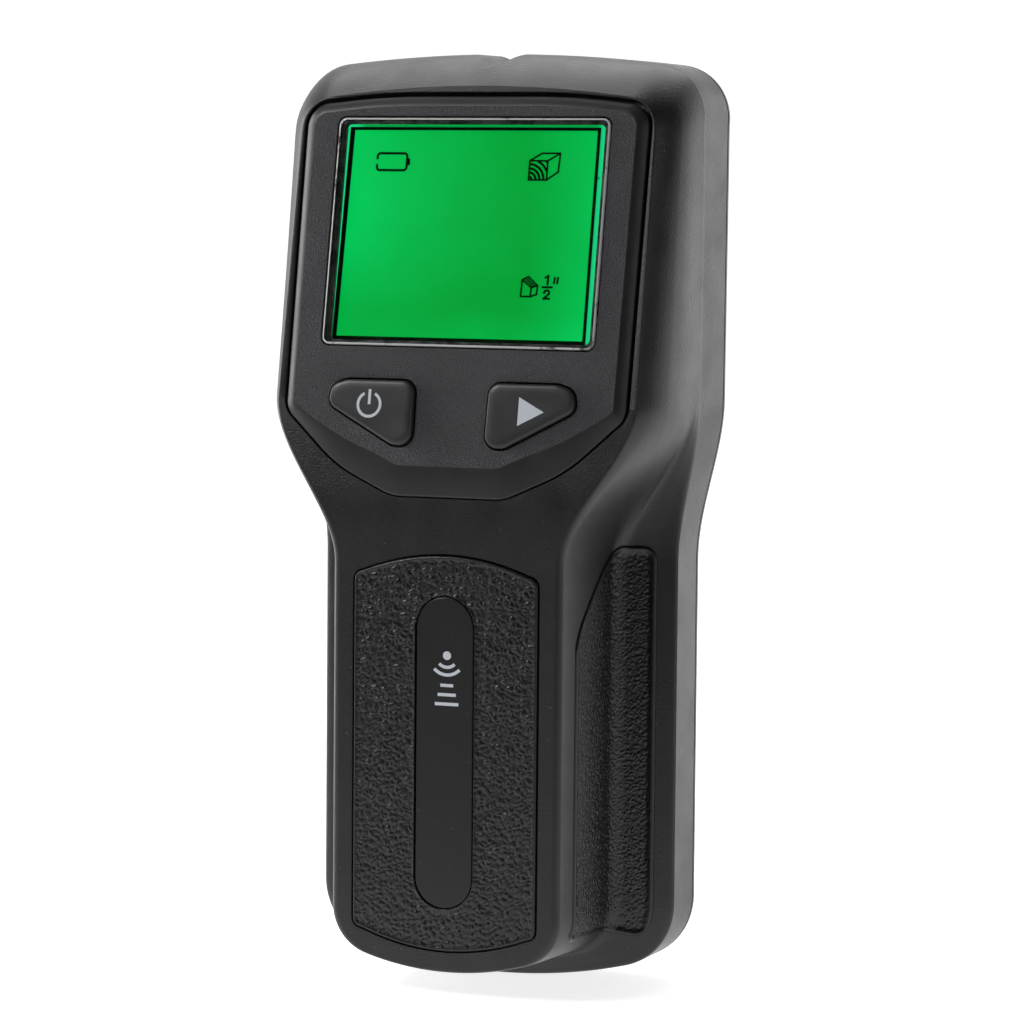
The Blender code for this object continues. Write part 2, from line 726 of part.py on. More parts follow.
def front_grip(rubber):
    front, back = FRONT_Y - PANEL_PROUD, FRONT_Y + PANEL_DEPTH - GAP
    edge = 0.4
    rings = [
        [(x, back, z) for x, z in panel_outline(0.0)],
        [(x, front + edge, z) for x, z in panel_outline(0.0)],
        [(x, front, z) for x, z in panel_outline(-edge)],
    ]
    panel = stacked("front_grip", rings, rubber)
    slot = obround(STRIP_HALF + GAP, STRIP_LOW - GAP, STRIP_HIGH + GAP)
    cut(panel, prism("tool_strip_slot", slot, -20.0, -10.0))
    return panel


def name_strip(plastic):
    front, back = FRONT_Y - PANEL_PROUD + 0.25, FRONT_Y + PANEL_DEPTH - GAP
    edge = 0.3
    rings = [
        [(x, back, z) for x, z in obround(STRIP_HALF, STRIP_LOW, STRIP_HIGH)],
        [(x, front + edge, z) for x, z in obround(STRIP_HALF, STRIP_LOW, STRIP_HIGH)],
        [(x, front, z) for x, z in obround(STRIP_HALF - edge, STRIP_LOW + edge, STRIP_HIGH - edge)],
    ]
    return stacked("name_strip", rings, plastic)


def side_pad(name, side, depth, proud, grow=0.0, skin=None):
    """A leather-grained pad that lines the finger hollow, let into the shell's side."""
    layers = shell_layers()
    first, last = 4, len(layers) - 4
    columns = []
    for i in range(first, last + 1):
        columns.append(layers[i])
    columns[0] = between(layers[3], layers[4], 1.0 - 0.06 * grow)
    columns[-1] = between(layers[last], layers[last + 1], 0.12 * grow)
    rows = 14
    outer, inner = [], []
    for index, ring in enumerate(columns):
        share = index / (len(columns) - 1)
        low, high = pad_ends(ring, share, grow)
        normal = side_normal(columns, index)
        for target, offset in ((outer, proud), (inner, -depth)):
            line = []
            for row in range(rows + 1):
                tau = lerp(low, high, row / rows)
                x, z = ring_point(ring, tau)
                y = ring_y(ring, z)
                line.append((side * (x + normal[0] * offset), y + normal[1] * offset, z))
            target.append(line)
    return grid_solid(name, outer, inner, skin)


def pad_ends(ring, share, grow):
    """The pad's lower and upper limits on one ring, as places along the ring."""
    y = ring_y(ring, 40.0)
    high = 76.7 - 0.573 * max(0.0, 3.2 - y) ** 1.2 + grow
    low = 1.55 - 0.03 * grow
    if share > 0.99 or share < 0.01:
        high -= 1.6
        low += 0.25
    start = ring_point(ring, 2.0)[1]
    finish = ring_point(ring, 3.0)[1]
    return low, 2 + (high - start) / (finish - start)


def side_normal(columns, index):
    """The outward direction, in X and Y, of the shell's side at one ring."""
    a = columns[max(index - 1, 0)]
    b = columns[min(index + 1, len(columns) - 1)]
    height = 40.0
    run = unit(half_width(b, height) - half_width(a, height), ring_y(b, height) - ring_y(a, height))
    return run[1], -run[0]


def grid_solid(name, outer, inner, skin):
    """A closed solid between two equal grids of points."""
    wide, tall = len(outer), len(outer[0])
    points = [p for line in outer for p in line] + [p for line in inner for p in line]
    shift = wide * tall
    faces = []
    for i in range(wide - 1):
        for j in range(tall - 1):
            a = i * tall + j
            faces.append((a, a + tall, a + tall + 1, a + 1))
            faces.append((shift + a, shift + a + 1, shift + a + tall + 1, shift + a + tall))
    rim = [i * tall for i in range(wide)] + [(wide - 1) * tall + j for j in range(1, tall)]
    rim += [i * tall + tall - 1 for i in range(wide - 2, -1, -1)] + [j for j in range(tall - 2, 0, -1)]
    for a, b in zip(rim, rim[1:] + rim[:1]):
        faces.append((a, b, shift + b, shift + a))
    return make(name, points, faces, skin)


# ---------------------------------------------------------------- battery and sensor


def battery_door(plastic):
    """A flush lid, rounded about its hinge pins, with a ribbed thumb hollow at its free end."""
    inner, outer = SEAM_Y + 0.1 + GAP, BACK_Y
    steps = 5
    profile = [(inner, HINGE_Z - 0.6)]
    for i in range(steps + 1):
        angle = math.radians(-80 + 80 * i / steps)
        profile.append((HINGE_Y + HINGE_R * math.cos(angle), HINGE_Z + HINGE_R * math.sin(angle)))
    profile += [(outer, DOOR_HIGH), (inner, DOOR_HIGH)]
    rings = [[(x, y, z) for y, z in profile] for x in (-DOOR_HALF, DOOR_HALF)]
    door = stacked("battery_door", rings, plastic)
    join(door, cross_pin("tool_door_pins", 2 * (DOOR_HALF + 1.5), 0.9))
    hollow = block("tool_thumb", (15.0, 1.4, 6.5), (0, BACK_Y + 0.1, DOOR_HIGH - 6.0), edge=2.8)
    cut(door, hollow)
    for i in range(3):
        rib = block(f"tool_rib_{i}", (12.0, 0.5, 0.7), (0, BACK_Y - 0.45, DOOR_HIGH - 7.8 + 1.8 * i))
        join(door, rib)
    origin_to(door, (0.0, HINGE_Y, HINGE_Z))
    return door


def origin_to(item, place):
    """Moves an object's origin without moving its shape, or the shapes of its tools."""
    move = Matrix.Translation([v * MM for v in place])
    item.data.transform(move.inverted())
    item.matrix_world = move


def battery(skins):
    size = BATTERY
    centre_y = 15.0 - GAP - size[1] / 2
    low = BAY_LOW + 0.9
    top = low + size[2]
    cell = block("battery_9v", size, (0, centre_y, low + size[2] / 2), skins["battery"], edge=1.6)
    studs = []
    for i, (x, radius) in enumerate(((-6.35, 2.9), (6.35, 2.6))):
        studs.append(upright(f"tool_stud_{i}", radius, (x, centre_y), top - 0.5, top + 2.0))
    join(cell, *studs)
    base = top + GAP
    cap = block("snap_connector", (25.0, 12.4, 4.2), (0, centre_y, base + 2.1), skins["black"], edge=0.8)
    for i, x in enumerate((-6.35, 6.35)):
        cut(cap, upright(f"tool_snap_{i}", 3.3, (x, centre_y), base - 1.0, base + 2.2))
    return centre_y, base + 4.2


def upright(name, radius, at, low, high, skin=None, sides=20):
    rings = []
    for z in (low, high):
        rings.append([(x, y, z) for x, y in circle(radius, at, sides)])
    return stacked(name, rings, skin)


def lead(name, points, radius, skin):
    """An insulated wire through hand-placed points, smoothed by its curve."""
    curve = bpy.data.curves.new(name, "CURVE")
    curve.dimensions = "3D"
    curve.bevel_depth = radius * MM
    curve.bevel_resolution = 1
    curve.use_fill_caps = True
    path = smooth_path(points, 5)
    spline = curve.splines.new("POLY")
    spline.points.add(len(path) - 1)
    for spot, (x, y, z) in zip(spline.points, path):
        spot.co = (x * MM, y * MM, z * MM, 1.0)
    curve.materials.append(skin)
    item = bpy.data.objects.new(name, curve)
    bpy.context.collection.objects.link(item)
    return item


def smooth_path(points, steps):
    """A Catmull-Rom curve through the points."""
    path = []
    for i in range(len(points) - 1):
        p0, p1 = points[max(i - 1, 0)], points[i]
        p2, p3 = points[i + 1], points[min(i + 2, len(points) - 1)]
        for step in range(steps):
            t = step / steps
            spot = []
            for a, b, c, d in zip(p0, p1, p2, p3):
                square, cube = 2 * a - 5 * b + 4 * c - d, 3 * b - a - 3 * c + d
                spot.append(0.5 * (2 * b + (c - a) * t + square * t**2 + cube * t**3))
            path.append(tuple(spot))
    return path + [points[-1]]


def battery_leads(skins, centre_y, top):
    for name, side in (("red_lead", -1), ("black_lead", 1)):
        x = 2.4 * side
        points = [
            (x, centre_y - 1.0, top + 0.5),
            (x, centre_y - 2.6, top + 3.2),
            (x * 1.3, 1.5, 74.0),
            (x * 1.8, 0.6, 80.0),
            (x * 2.2, -0.6, 87.0),
            (x * 2.4, -2.8, 92.6),
        ]
        lead(name, points, 0.7, skins[name])


def sensor_parts(skins):
    """The sensing board against the back, its coil, its two plates, its ribbon and its screws."""
    board = block("sensor_board", SENSOR_BOARD, (0, 11.8, 124.0), skins["board"], edge=2.0)
    for i, x in enumerate(SENSOR_SCREWS):
        at = (x, SENSOR_SCREW_Z)
        cut(board, disc(f"tool_sensor_pass_{i}", 1.2, at, 10.0, 14.0, sides=12))
        screw(f"sensor_screw_{i + 1}", at, 9.3, 10.8, 16.2, (1.9, 0.75), skins["steel"])
    outer, inner = COIL_RADII
    coil = disc("sensor_coil", outer, (0, COIL_Z), 12.8, 14.4, skins["copper"], sides=40)
    cut(coil, disc("tool_coil", inner, (0, COIL_Z), 12.0, 15.2, sides=40))
    for name, side in (("left", -1), ("right", 1)):
        place = (20.5 * side, 13.0, 132.0)
        block(f"sensor_plate_{name}", SENSOR_PLATE, place, skins["copper"], edge=1.0)
    ribbon(skins["ribbon"])


def ribbon(skin):
    """The flat cable from the main board's lower end to the sensing board."""
    path = smooth_path([(-2.4, 96.6), (1.2, 93.2), (5.4, 91.6), (8.6, 93.4), (10.75, 99.0)], 5)
    thick = 0.35
    rings = []
    for i, (y, z) in enumerate(path):
        before, after = path[max(i - 1, 0)], path[min(i + 1, len(path) - 1)]
        along = unit(after[0] - before[0], after[1] - before[1])
        out = (-along[1] * thick / 2, along[0] * thick / 2)
        near, far = 12.0, 22.0
        rings.append(
            [
                (near, y - out[0], z - out[1]),
                (far, y - out[0], z - out[1]),
                (far, y + out[0], z + out[1]),
                (near, y + out[0], z + out[1]),
            ]
        )
    stacked("sensor_ribbon", rings, skin)


# ---------------------------------------------------------------- the tool


def all_skins():
    plain = {
        "shell": ((0.030, 0.030, 0.032), 0.48),
        "tile": ((0.036, 0.036, 0.040), 0.55),
        "key": ((0.032, 0.032, 0.035), 0.42),
        "rubber": ((0.018, 0.018, 0.019), 0.62),
        "strip": ((0.016, 0.016, 0.017), 0.50),
        "foam": ((0.05, 0.05, 0.05), 0.9),
        "white": ((0.75, 0.75, 0.72), 0.5),
        "lcd": ((0.01, 0.45, 0.09), 0.15),
        "guide": ((0.80, 0.88, 0.82), 0.2),
        "zebra": ((0.55, 0.50, 0.48), 0.7),
        "led": ((0.9, 0.95, 0.8), 0.3),
        "board": ((0.02, 0.16, 0.06), 0.4),
        "switch": ((0.12, 0.12, 0.13), 0.4),
        "plunger": ((0.55, 0.53, 0.48), 0.5),
        "chip": ((0.02, 0.02, 0.02), 0.4),
        "battery": ((0.10, 0.10, 0.12), 0.35),
        "black": ((0.02, 0.02, 0.02), 0.6),
        "red_lead": ((0.55, 0.03, 0.02), 0.45),
        "black_lead": ((0.02, 0.02, 0.02), 0.45),
        "ribbon": ((0.70, 0.70, 0.72), 0.4),
    }
    skins = {name: material(name, *look) for name, look in plain.items()}
    skins["clear"] = material("clear", (0.9, 0.95, 0.95), 0.03, alpha=0.35)
    skins["steel"] = material("steel", (0.62, 0.62, 0.62), 0.3, 1.0)
    skins["copper"] = material("copper", (0.80, 0.42, 0.22), 0.35, 1.0)
    return skins


def build():
    clear_scene()
    skins = all_skins()
    frame = tilted_frame()
    front_shell(frame, skins["shell"])
    rear_shell(skins["shell"])
    face_plate(frame, skins["tile"])
    button("power_button", -1, frame, skins["key"])
    button("select_button", 1, frame, skins["key"])
    display_stack(frame, skins)
    main_board(frame, skins)
    front_grip(skins["rubber"])
    name_strip(skins["strip"])
    side_pad("side_grip_left", -1, SIDE_DEPTH, SIDE_PROUD, skin=skins["rubber"])
    side_pad("side_grip_right", 1, SIDE_DEPTH, SIDE_PROUD, skin=skins["rubber"])
    battery_door(skins["shell"])
    battery_leads(skins, *battery(skins))
    sensor_parts(skins)
    for i, at in enumerate(SHELL_SCREWS):
        screw(f"shell_screw_{i + 1}", at, 16.9, 15.4, 8.0, (2.4, 1.1), skins["steel"])


build()
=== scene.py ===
"""Looks of the hand-held stud finder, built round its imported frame.

Sizes are millimetres in the frame's own axes: +Z runs from the grip to the head, the display faces
-Y and the flat sensing back faces +Y. MM turns them into metres. Pieces on the leaning display tile
are drawn in the tile's own axes (X across, Y inwards, Z up the tile) and placed by ON_TILE.
"""

import math

import bmesh
import bpy
import numpy as np
from mathutils import Matrix, Vector, noise


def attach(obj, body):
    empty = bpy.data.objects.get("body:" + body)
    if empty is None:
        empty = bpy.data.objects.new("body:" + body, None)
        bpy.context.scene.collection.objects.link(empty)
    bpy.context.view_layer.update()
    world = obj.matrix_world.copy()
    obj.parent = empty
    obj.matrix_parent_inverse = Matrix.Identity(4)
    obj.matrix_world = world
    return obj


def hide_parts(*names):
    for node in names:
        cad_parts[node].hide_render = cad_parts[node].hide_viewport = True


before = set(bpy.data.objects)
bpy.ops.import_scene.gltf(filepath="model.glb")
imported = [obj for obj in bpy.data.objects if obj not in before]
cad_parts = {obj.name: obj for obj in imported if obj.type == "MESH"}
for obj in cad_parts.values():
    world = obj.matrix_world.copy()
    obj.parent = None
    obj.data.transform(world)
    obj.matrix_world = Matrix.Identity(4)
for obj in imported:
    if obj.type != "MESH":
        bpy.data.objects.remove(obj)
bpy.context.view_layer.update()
noise.seed_set(11)  # the leather has the same grain on every run

MM = 0.001
GAP = 0.3

# ---- the tool's driving sizes, the same as in the part's source
HEIGHT, FRONT_Y, BACK_Y = 161.0, -17.5, 17.5
SHOULDER_Y, SEAM_Y = 5.84, 15.2
WALL, FRONT_WALL, CROWN_WALL = 2.0, 2.8, 4.4
GRIP_FRONT, GRIP_BASE = 21.25, 33.3
HEAD_FRONT, HEAD_BASE = 33.15, 37.15
WAIST_LOW, WAIST_HIGH = 73.9, 101.9
HEAD_TAPER, WALL_FLARE = (-0.008, 0.005), 0.7
BLOCK_LIFT, CROWN_DROP = 3.9, 5.7
BOTTOM_RADII, BOTTOM_CORNERS = (52.0, 98.0), (8.4, 11.8)
TOP_RADII, TOP_CORNERS = (205.0, 262.0), (5.5, 9.3)
TILT_RISE = 0.1804
TILT = math.atan(TILT_RISE)
WINDOW_Z, FACE_Y = 130.35, -10.39
WINDOW_SIZE, VIEW_SIZE = (50.8, 40.0), (50.0, 39.2)
TILE_THICK, TILE_PROUD, TILE_SLOT, LEDGE = 2.6, 1.2, 0.85, 3.5
PANEL_HALF, PANEL_LOW, PANEL_HIGH, PANEL_BULGE = 17.0, 11.4, 71.9, 3.7
PANEL_DEPTH, PANEL_PROUD = 1.3, 0.3
STRIP_HALF, STRIP_LOW, STRIP_HIGH = 5.3, 15.1, 68.6
SIDE_DEPTH, SIDE_PROUD = 0.85, 0.35
BATTERY = (26.2, 17.0, 46.2)
BAY_HALF, BAY_LOW, BAY_HIGH, BAY_FLOOR_Y = 14.6, 10.6, 66.0, -4.4
DOOR_HALF, DOOR_HIGH = 15.6, 68.5
HINGE_Y, HINGE_Z, HINGE_R = 15.9, 10.2, 1.6
NOTCH_HALF, NOTCH_DEPTH = 5.3, 2.5
SHELL_SCREWS = ((-31.4, 145.0), (31.4, 145.0), (-27.2, 17.0), (27.2, 17.0))

ON_TILE = Matrix.Translation((0, FACE_Y, WINDOW_Z)) @ Matrix.Rotation(-TILT, 4, "X")
UPRIGHT = Matrix.Identity(4)


# ---------------------------------------------------------------- small tools


def lerp(a, b, t):
    return a + (b - a) * t


def smooth(t):
    t = min(max(t, 0.0), 1.0)
    return t * t * (3.0 - 2.0 * t)


def unit(x, z):
    length = math.hypot(x, z)
    return x / length, z / length


def make(name, points, faces, skin=None, place=UPRIGHT):
    """A mesh object from points in millimetres, its faces turned outwards."""
    mesh = bpy.data.meshes.new(name)
    mesh.from_pydata([tuple(v * MM for v in p) for p in points], [], faces)
    moved = place.copy()
    moved.translation = place.translation * MM
    mesh.transform(moved)
    work = bmesh.new()
    work.from_mesh(mesh)
    bmesh.ops.recalc_face_normals(work, faces=work.faces)
    work.to_mesh(mesh)
    work.free()
    mesh.shade_smooth()
    item = bpy.data.objects.new(name, mesh)
    bpy.context.scene.collection.objects.link(item)
    if skin:
        mesh.materials.append(skin)
    return item


def stacked(name, rings, skin=None, place=UPRIGHT, ends="flat"):
    """A closed solid through rings of points. Its ends are flat faces, or strips across a
    mirror-symmetric ring, or the last ring is joined to the first."""
    count = len(rings[0])
    points = [p for ring in rings for p in ring]
    total = len(points)
    levels = len(rings) if ends == "joined" else len(rings) - 1
    faces = []
    for level in range(levels):
        low, high = level * count, (level + 1) * count
        for i in range(count):
            j = (i + 1) % count
            faces.append((low + i, low + j, (high + j) % total, (high + i) % total))
    for start in (0, total - count):
        if ends == "strips":
            faces += across(start, count)
        elif ends == "flat":
            faces.append(tuple(range(start, start + count)))
    return make(name, points, faces, skin, place)


def across(start, count):
    """Faces that join each point of a ring to its mirror image, from one end to the other."""
    half = count // 2
    faces = [(start, start + 1, start + count - 1)]
    for i in range(1, half - 1):
        faces.append((start + i, start + i + 1, start + count - i - 1, start + count - i))
    faces.append((start + half - 1, start + half, start + half + 1))
    return faces


def at_depth(outline, y):
    return [(x, y, z) for x, z in outline]


def layered(name, outline, steps, skin=None, place=UPRIGHT, ends="flat"):
    """A solid from one outline of (x, z) points: steps are (inset, y) pairs."""
    rings = [at_depth(shrunk(outline, inset), y) for inset, y in steps]
    return stacked(name, rings, skin, place, ends)


def quarter(steps):
    return [math.pi / 2 * i / steps for i in range(steps + 1)]


def round_edge(inset, y, radius, steps=5, out=-1.0):
    """(inset, y) pairs round a convex edge, from the side wall to the face at depth y."""
    turns = quarter(steps)
    return [(inset + radius * (1 - math.cos(a)), y - out * radius * (1 - math.sin(a))) for a in turns]


def arc(centre, radius, start, end, steps):
    angles = [lerp(start, end, i / steps) for i in range(steps + 1)]
    return [(centre[0] + radius * math.cos(a), centre[1] + radius * math.sin(a)) for a in angles]


def circle(radius, centre, sides=48):
    return arc(centre, radius, 0, 2 * math.pi, sides)[:-1]


def rounded(width, height, radius, centre=(0.0, 0.0), steps=8):
    """A rectangle's anticlockwise outline with round corners."""
    outline = []
    for turn, (sx, sz) in enumerate([(1, -1), (1, 1), (-1, 1), (-1, -1)]):
        corner = (centre[0] + sx * (width / 2 - radius), centre[1] + sz * (height / 2 - radius))
        start = math.pi / 2 * (turn - 1)
        outline += arc(corner, radius, start, start + math.pi / 2, steps)
    return outline


def obround(half, low, high, steps=24):
    foot = arc((0, low + half), half, math.pi, 2 * math.pi, steps)
    return foot + arc((0, high - half), half, 0, math.pi, steps)


def corner_turn(before, corner, after, radius, steps):
    """The arc that takes a corner's place between the points before and after it."""
    into = unit(corner[0] - before[0], corner[1] - before[1])
    out = unit(after[0] - corner[0], after[1] - corner[1])
    bend = math.atan2(into[0] * out[1] - into[1] * out[0], into[0] * out[0] + into[1] * out[1])
    reach, run = math.copysign(radius, bend), radius * math.tan(abs(bend) / 2)
    centre = (corner[0] - into[0] * run - into[1] * reach, corner[1] - into[1] * run + into[0] * reach)
    start = math.atan2(-into[0] * reach, into[1] * reach)
    return arc(centre, radius, start, start + bend, steps)


def softened(corners, steps=12):
    """A closed outline from (x, z, radius) corners, each turned into an arc."""
    outline = []
    for i, (x, z, radius) in enumerate(corners):
        outline += corner_turn(corners[i - 1], (x, z), corners[(i + 1) % len(corners)], radius, steps)
    return outline


def divided(outline, longest):
    """The outline with its long stretches split, so that it can follow a changing inset."""
    points = []
    for (x0, z0), (x1, z1) in zip(outline, outline[1:] + outline[:1]):
        count = max(1, math.ceil(math.hypot(x1 - x0, z1 - z0) / longest))
        points += [(lerp(x0, x1, i / count), lerp(z0, z1, i / count)) for i in range(count)]
    return points


def shrunk(outline, inset):
    """An anticlockwise outline moved inwards; inset is a number or a function of (x, z)."""
    moved = []
    for i, (x, z) in enumerate(outline):
        before, after = outline[i - 1], outline[(i + 1) % len(outline)]
        a = unit(x - before[0], z - before[1])
        b = unit(after[0] - x, after[1] - z)
        normal = unit(-a[1] - b[1], a[0] + b[0])
        amount = inset(x, z) if callable(inset) else inset
        amount /= max(0.5, -a[1] * normal[0] + a[0] * normal[1])
        moved.append((x + normal[0] * amount, z + normal[1] * amount))
    return moved


def block(name, size, centre, edge, skin=None, place=UPRIGHT, soft=0.12):
    """A box along Y with rounded corners and softened rims."""
    near, far = centre[1] - size[1] / 2, centre[1] + size[1] / 2
    outline = rounded(size[0], size[2], edge, (centre[0], centre[2]))
    steps = round_edge(0, near, soft, 3)[::-1] + round_edge(0, far, soft, 3, out=1.0)
    return layered(name, outline, steps, skin, place)


def tool(outline, near, far, place=UPRIGHT):
    """A plain cutting solid."""
    return layered("tool", outline, [(0, near), (0, far)], None, place)


def pocket(outline, surface, floor, rim, place=UPRIGHT, out=-1.0):
    """A cutting solid that leaves a rounded rim where it meets the surface. out is the side of
    the surface that is open air, along Y."""
    lift = surface + out * 0.02
    edge = [(-rim * (1 - math.cos(a)), lift - out * rim * (1 - math.sin(a))) for a in quarter(4)]
    return layered("tool", outline, [(0, floor), *edge, (-rim, surface + out * 6.0)], None, place)


def changed(item, operation, tools):
    for other in tools:
        change = item.modifiers.new("change", "BOOLEAN")
        change.operation = operation
        change.solver = "EXACT"
        change.object = other


def cut(item, *tools):
    changed(item, "DIFFERENCE", tools)


def join(item, *tools):
    changed(item, "UNION", tools)


def settle(item, sharp=34.0):
    """Applies the Boolean changes, deletes their tools and sets which edges look sharp."""
    tools = [change.object for change in item.modifiers]
    if tools:
        graph = bpy.context.evaluated_depsgraph_get()
        mesh = bpy.data.meshes.new_from_object(item.evaluated_get(graph))
        item.modifiers.clear()
        item.data = mesh
    for other in tools:
        bpy.data.objects.remove(other)
    item.data.shade_smooth()
    item.data.set_sharp_from_angle(angle=math.radians(sharp))
    weigh = item.modifiers.new("even shading", "WEIGHTED_NORMAL")
    weigh.keep_sharp = True
    return item


def show(item, body, slot, *nodes):
    """Puts a finished piece on its body, in place of the CAD nodes that it stands for."""
    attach(item, body)
    if nodes:
        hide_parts(*nodes)
    return item


# ---------------------------------------------------------------- materials


def add_node(tree, kind, inputs=None, **settings):
    """A new node; inputs are values, or sockets to link."""
    node = tree.nodes.new(kind)
    for key, value in settings.items():
        setattr(node, key, value)
    for key, value in (inputs or {}).items():
        if isinstance(value, bpy.types.NodeSocket):
            tree.links.new(value, node.inputs[key])
        else:
            node.inputs[key].default_value = value
    return node


class Skin:
    """A Principled material whose colour, roughness and relief come from noise in the piece's
    own space. Colours are linear; sizes are millimetres."""

    def __init__(self, name, roughness=0.5, **sockets):
        self.made = bpy.data.materials.new(name)
        self.made.use_nodes = True
        self.tree = self.made.node_tree
        self.shader = self.tree.nodes["Principled BSDF"]
        self.shader.inputs["Roughness"].default_value = roughness
        for socket, value in sockets.items():
            self.shader.inputs[socket.replace("_", " ")].default_value = value
        self.place = self.add("ShaderNodeTexCoord").outputs["Object"]

    def add(self, kind, inputs=None, **settings):
        return add_node(self.tree, kind, inputs, **settings)

    def noise(self, size, detail=2.0, rough=0.5):
        """A noise whose features are about size millimetres across."""
        inputs = {"Vector": self.place, "Scale": 1 / (size * MM), "Detail": detail, "Roughness": rough}
        return self.add("ShaderNodeTexNoise", inputs).outputs["Fac"]

    def cells(self, size, feature="F1"):
        inputs = {"Vector": self.place, "Scale": 1 / (size * MM)}
        return self.add("ShaderNodeTexVoronoi", inputs, feature=feature).outputs["Distance"]

    def spread(self, value, low, high, to_low=0.0, to_high=1.0):
        inputs = {"Value": value, "From Min": low, "From Max": high, "To Min": to_low, "To Max": to_high}
        return self.add("ShaderNodeMapRange", inputs).outputs["Result"]

    def spot(self):
        """The place on the piece as X, Y and Z sockets, in metres."""
        return self.add("ShaderNodeSeparateXYZ", {0: self.place}).outputs

    def math(self, operation, a, b=0.0):
        return self.add("ShaderNodeMath", {0: a, 1: b}, operation=operation).outputs[0]

    def mix(self, share, a, b):
        a, b = (v if isinstance(v, bpy.types.NodeSocket) else (*v, 1.0) for v in (a, b))
        return self.add("ShaderNodeMix", {0: share, 6: a, 7: b}, data_type="RGBA").outputs[2]

    def drive(self, value, socket="Base Color"):
        self.tree.links.new(value, self.shader.inputs[socket])

    def roughness(self, low, high, size=6.0):
        self.drive(self.spread(self.noise(size, 4.0), 0.3, 0.7, low, high), "Roughness")

    def bump(self, height, depth):
        """Relief of the given depth in millimetres."""
        inputs = {"Height": height, "Distance": depth * MM, "Strength": 1.0}
        self.drive(self.add("ShaderNodeBump", inputs).outputs["Normal"], "Normal")


def scaled(colour, share):
    return tuple(v * share for v in colour)


def moulded(name, colour, roughness, grain=0.3, depth=0.02, dust=0.0, tone=0.12, **sockets):
    """Moulded plastic or rubber: a spark-eroded grain, uneven gloss and a little dust."""
    skin = Skin(name, roughness, **sockets)
    dark, light = scaled(colour, 1 - tone), scaled(colour, 1 + tone)
    shade = skin.mix(skin.spread(skin.noise(9.0, 3.0), 0.35, 0.65), dark, light)
    if dust:
        speck = skin.spread(skin.cells(1.3), 0.10, 0.04)
        rare = skin.spread(skin.noise(2.1, 0.0), 0.60, 0.66)
        amount = skin.math("MULTIPLY", skin.math("MULTIPLY", speck, rare), dust)
        shade = skin.mix(amount, shade, (0.30, 0.30, 0.31))
    skin.drive(shade)
    skin.roughness(roughness - 0.04, roughness + 0.05)
    skin.bump(skin.noise(grain, 2.0, rough=0.6), depth)
    return skin.made


def lit(name, blue):
    """A green shader that shines; its Emission Color is still to be driven."""
    sockets = {"Base_Color": (0.0, 0.03, blue, 1.0), "Specular_IOR_Level": 0.08, "Emission_Strength": 1.0}
    return Skin(name, 0.5, **sockets)


def glow(name):
    """The lit liquid crystal: green, lighter where the lamps sit behind it."""
    skin = lit(name, 0.005)
    spot = skin.spot()
    near_lamp = skin.math("POWER", skin.spread(spot["X"], 0.024, -0.024), 2.2)
    share = skin.math("MULTIPLY", near_lamp, skin.spread(spot["Z"], 0.112, 0.128))
    right = skin.spread(spot["X"], 0.010, 0.022, 0.10, 0.72)
    foot = skin.spread(spot["Z"], 0.117, 0.111, 0.0, 0.40)
    cloud = skin.spread(skin.noise(9.0, 1.0), 0.3, 0.7, -0.06, 0.06)
    for extra in (right, foot, cloud):
        share = skin.math("ADD", share, extra)
    skin.drive(skin.mix(share, (0.0, 0.335, 0.022), (0.0, 0.60, 0.100)), "Emission Color")
    return skin.made


def edge_light(name):
    """Light that leaks from the panel's edges, brightest at its sides and broken here and there."""
    skin = lit(name, 0.01)
    side = skin.spread(skin.math("ABSOLUTE", skin.spot()["X"]), 0.0215, 0.0228)
    shade = skin.mix(side, (0.0, 0.34, 0.06), (0.01, 0.66, 0.22))
    breaks = skin.spread(skin.noise(2.6, 3.0, rough=0.7), 0.66, 0.72)
    skin.drive(skin.mix(breaks, shade, (0.0, 0.12, 0.03)), "Emission Color")
    return skin.made


def painted_reflections(name, dark, light, roughness, size, span):
    """A colour of painted reflections: pale stretches broken by dark ones, as on a polished edge."""
    skin = Skin(name, roughness)
    # the noise mix below paints pale reflection stretches and dark breaks into the base colour
    breaks = skin.spread(skin.noise(size, 3.0, rough=0.65), *span)
    skin.drive(skin.mix(breaks, dark, light))
    skin.roughness(roughness - 0.05, roughness + 0.05, 2.0)
    skin.bump(skin.noise(0.5, 2.0), 0.004)
    return skin.made


def clear(name):
    """Polished acrylic with the faintest waviness and a slightly uneven polish."""
    skin = Skin(name, 0.02, Base_Color=(1.0, 1.0, 1.0, 1.0), IOR=1.49, Transmission_Weight=1.0)
    skin.roughness(0.0, 0.02, 12.0)
    skin.bump(skin.noise(14.0, 1.0), 0.004)
    return skin.made


def metal(name, colour, roughness, size=0.6):
    skin = Skin(name, roughness, Metallic=1.0)
    skin.drive(skin.mix(skin.noise(size, 4.0), scaled(colour, 0.8), colour))
    skin.roughness(roughness - 0.06, roughness + 0.10, 1.2)
    skin.bump(skin.noise(size, 5.0), 0.01)
    return skin.made


def printed(name, colour, roughness=0.45, **sockets):
    """Screen-printed ink."""
    skin = Skin(name, roughness, **sockets)
    skin.drive(skin.mix(skin.noise(0.4, 3.0), scaled(colour, 0.9), colour))
    skin.roughness(roughness - 0.05, roughness + 0.05, 1.0)
    skin.bump(skin.noise(0.15, 2.0), 0.004)
    return skin.made


def board_green(name):
    """Solder mask with the relief of the tracks under it."""
    skin = Skin(name, 0.35)
    tracks = skin.spread(skin.cells(2.2, "DISTANCE_TO_EDGE"), 0.05, 0.09)
    skin.drive(skin.mix(tracks, (0.03, 0.24, 0.09), (0.012, 0.12, 0.04)))
    skin.roughness(0.3, 0.42, 3.0)
    skin.bump(tracks, -0.03)
    return skin.made


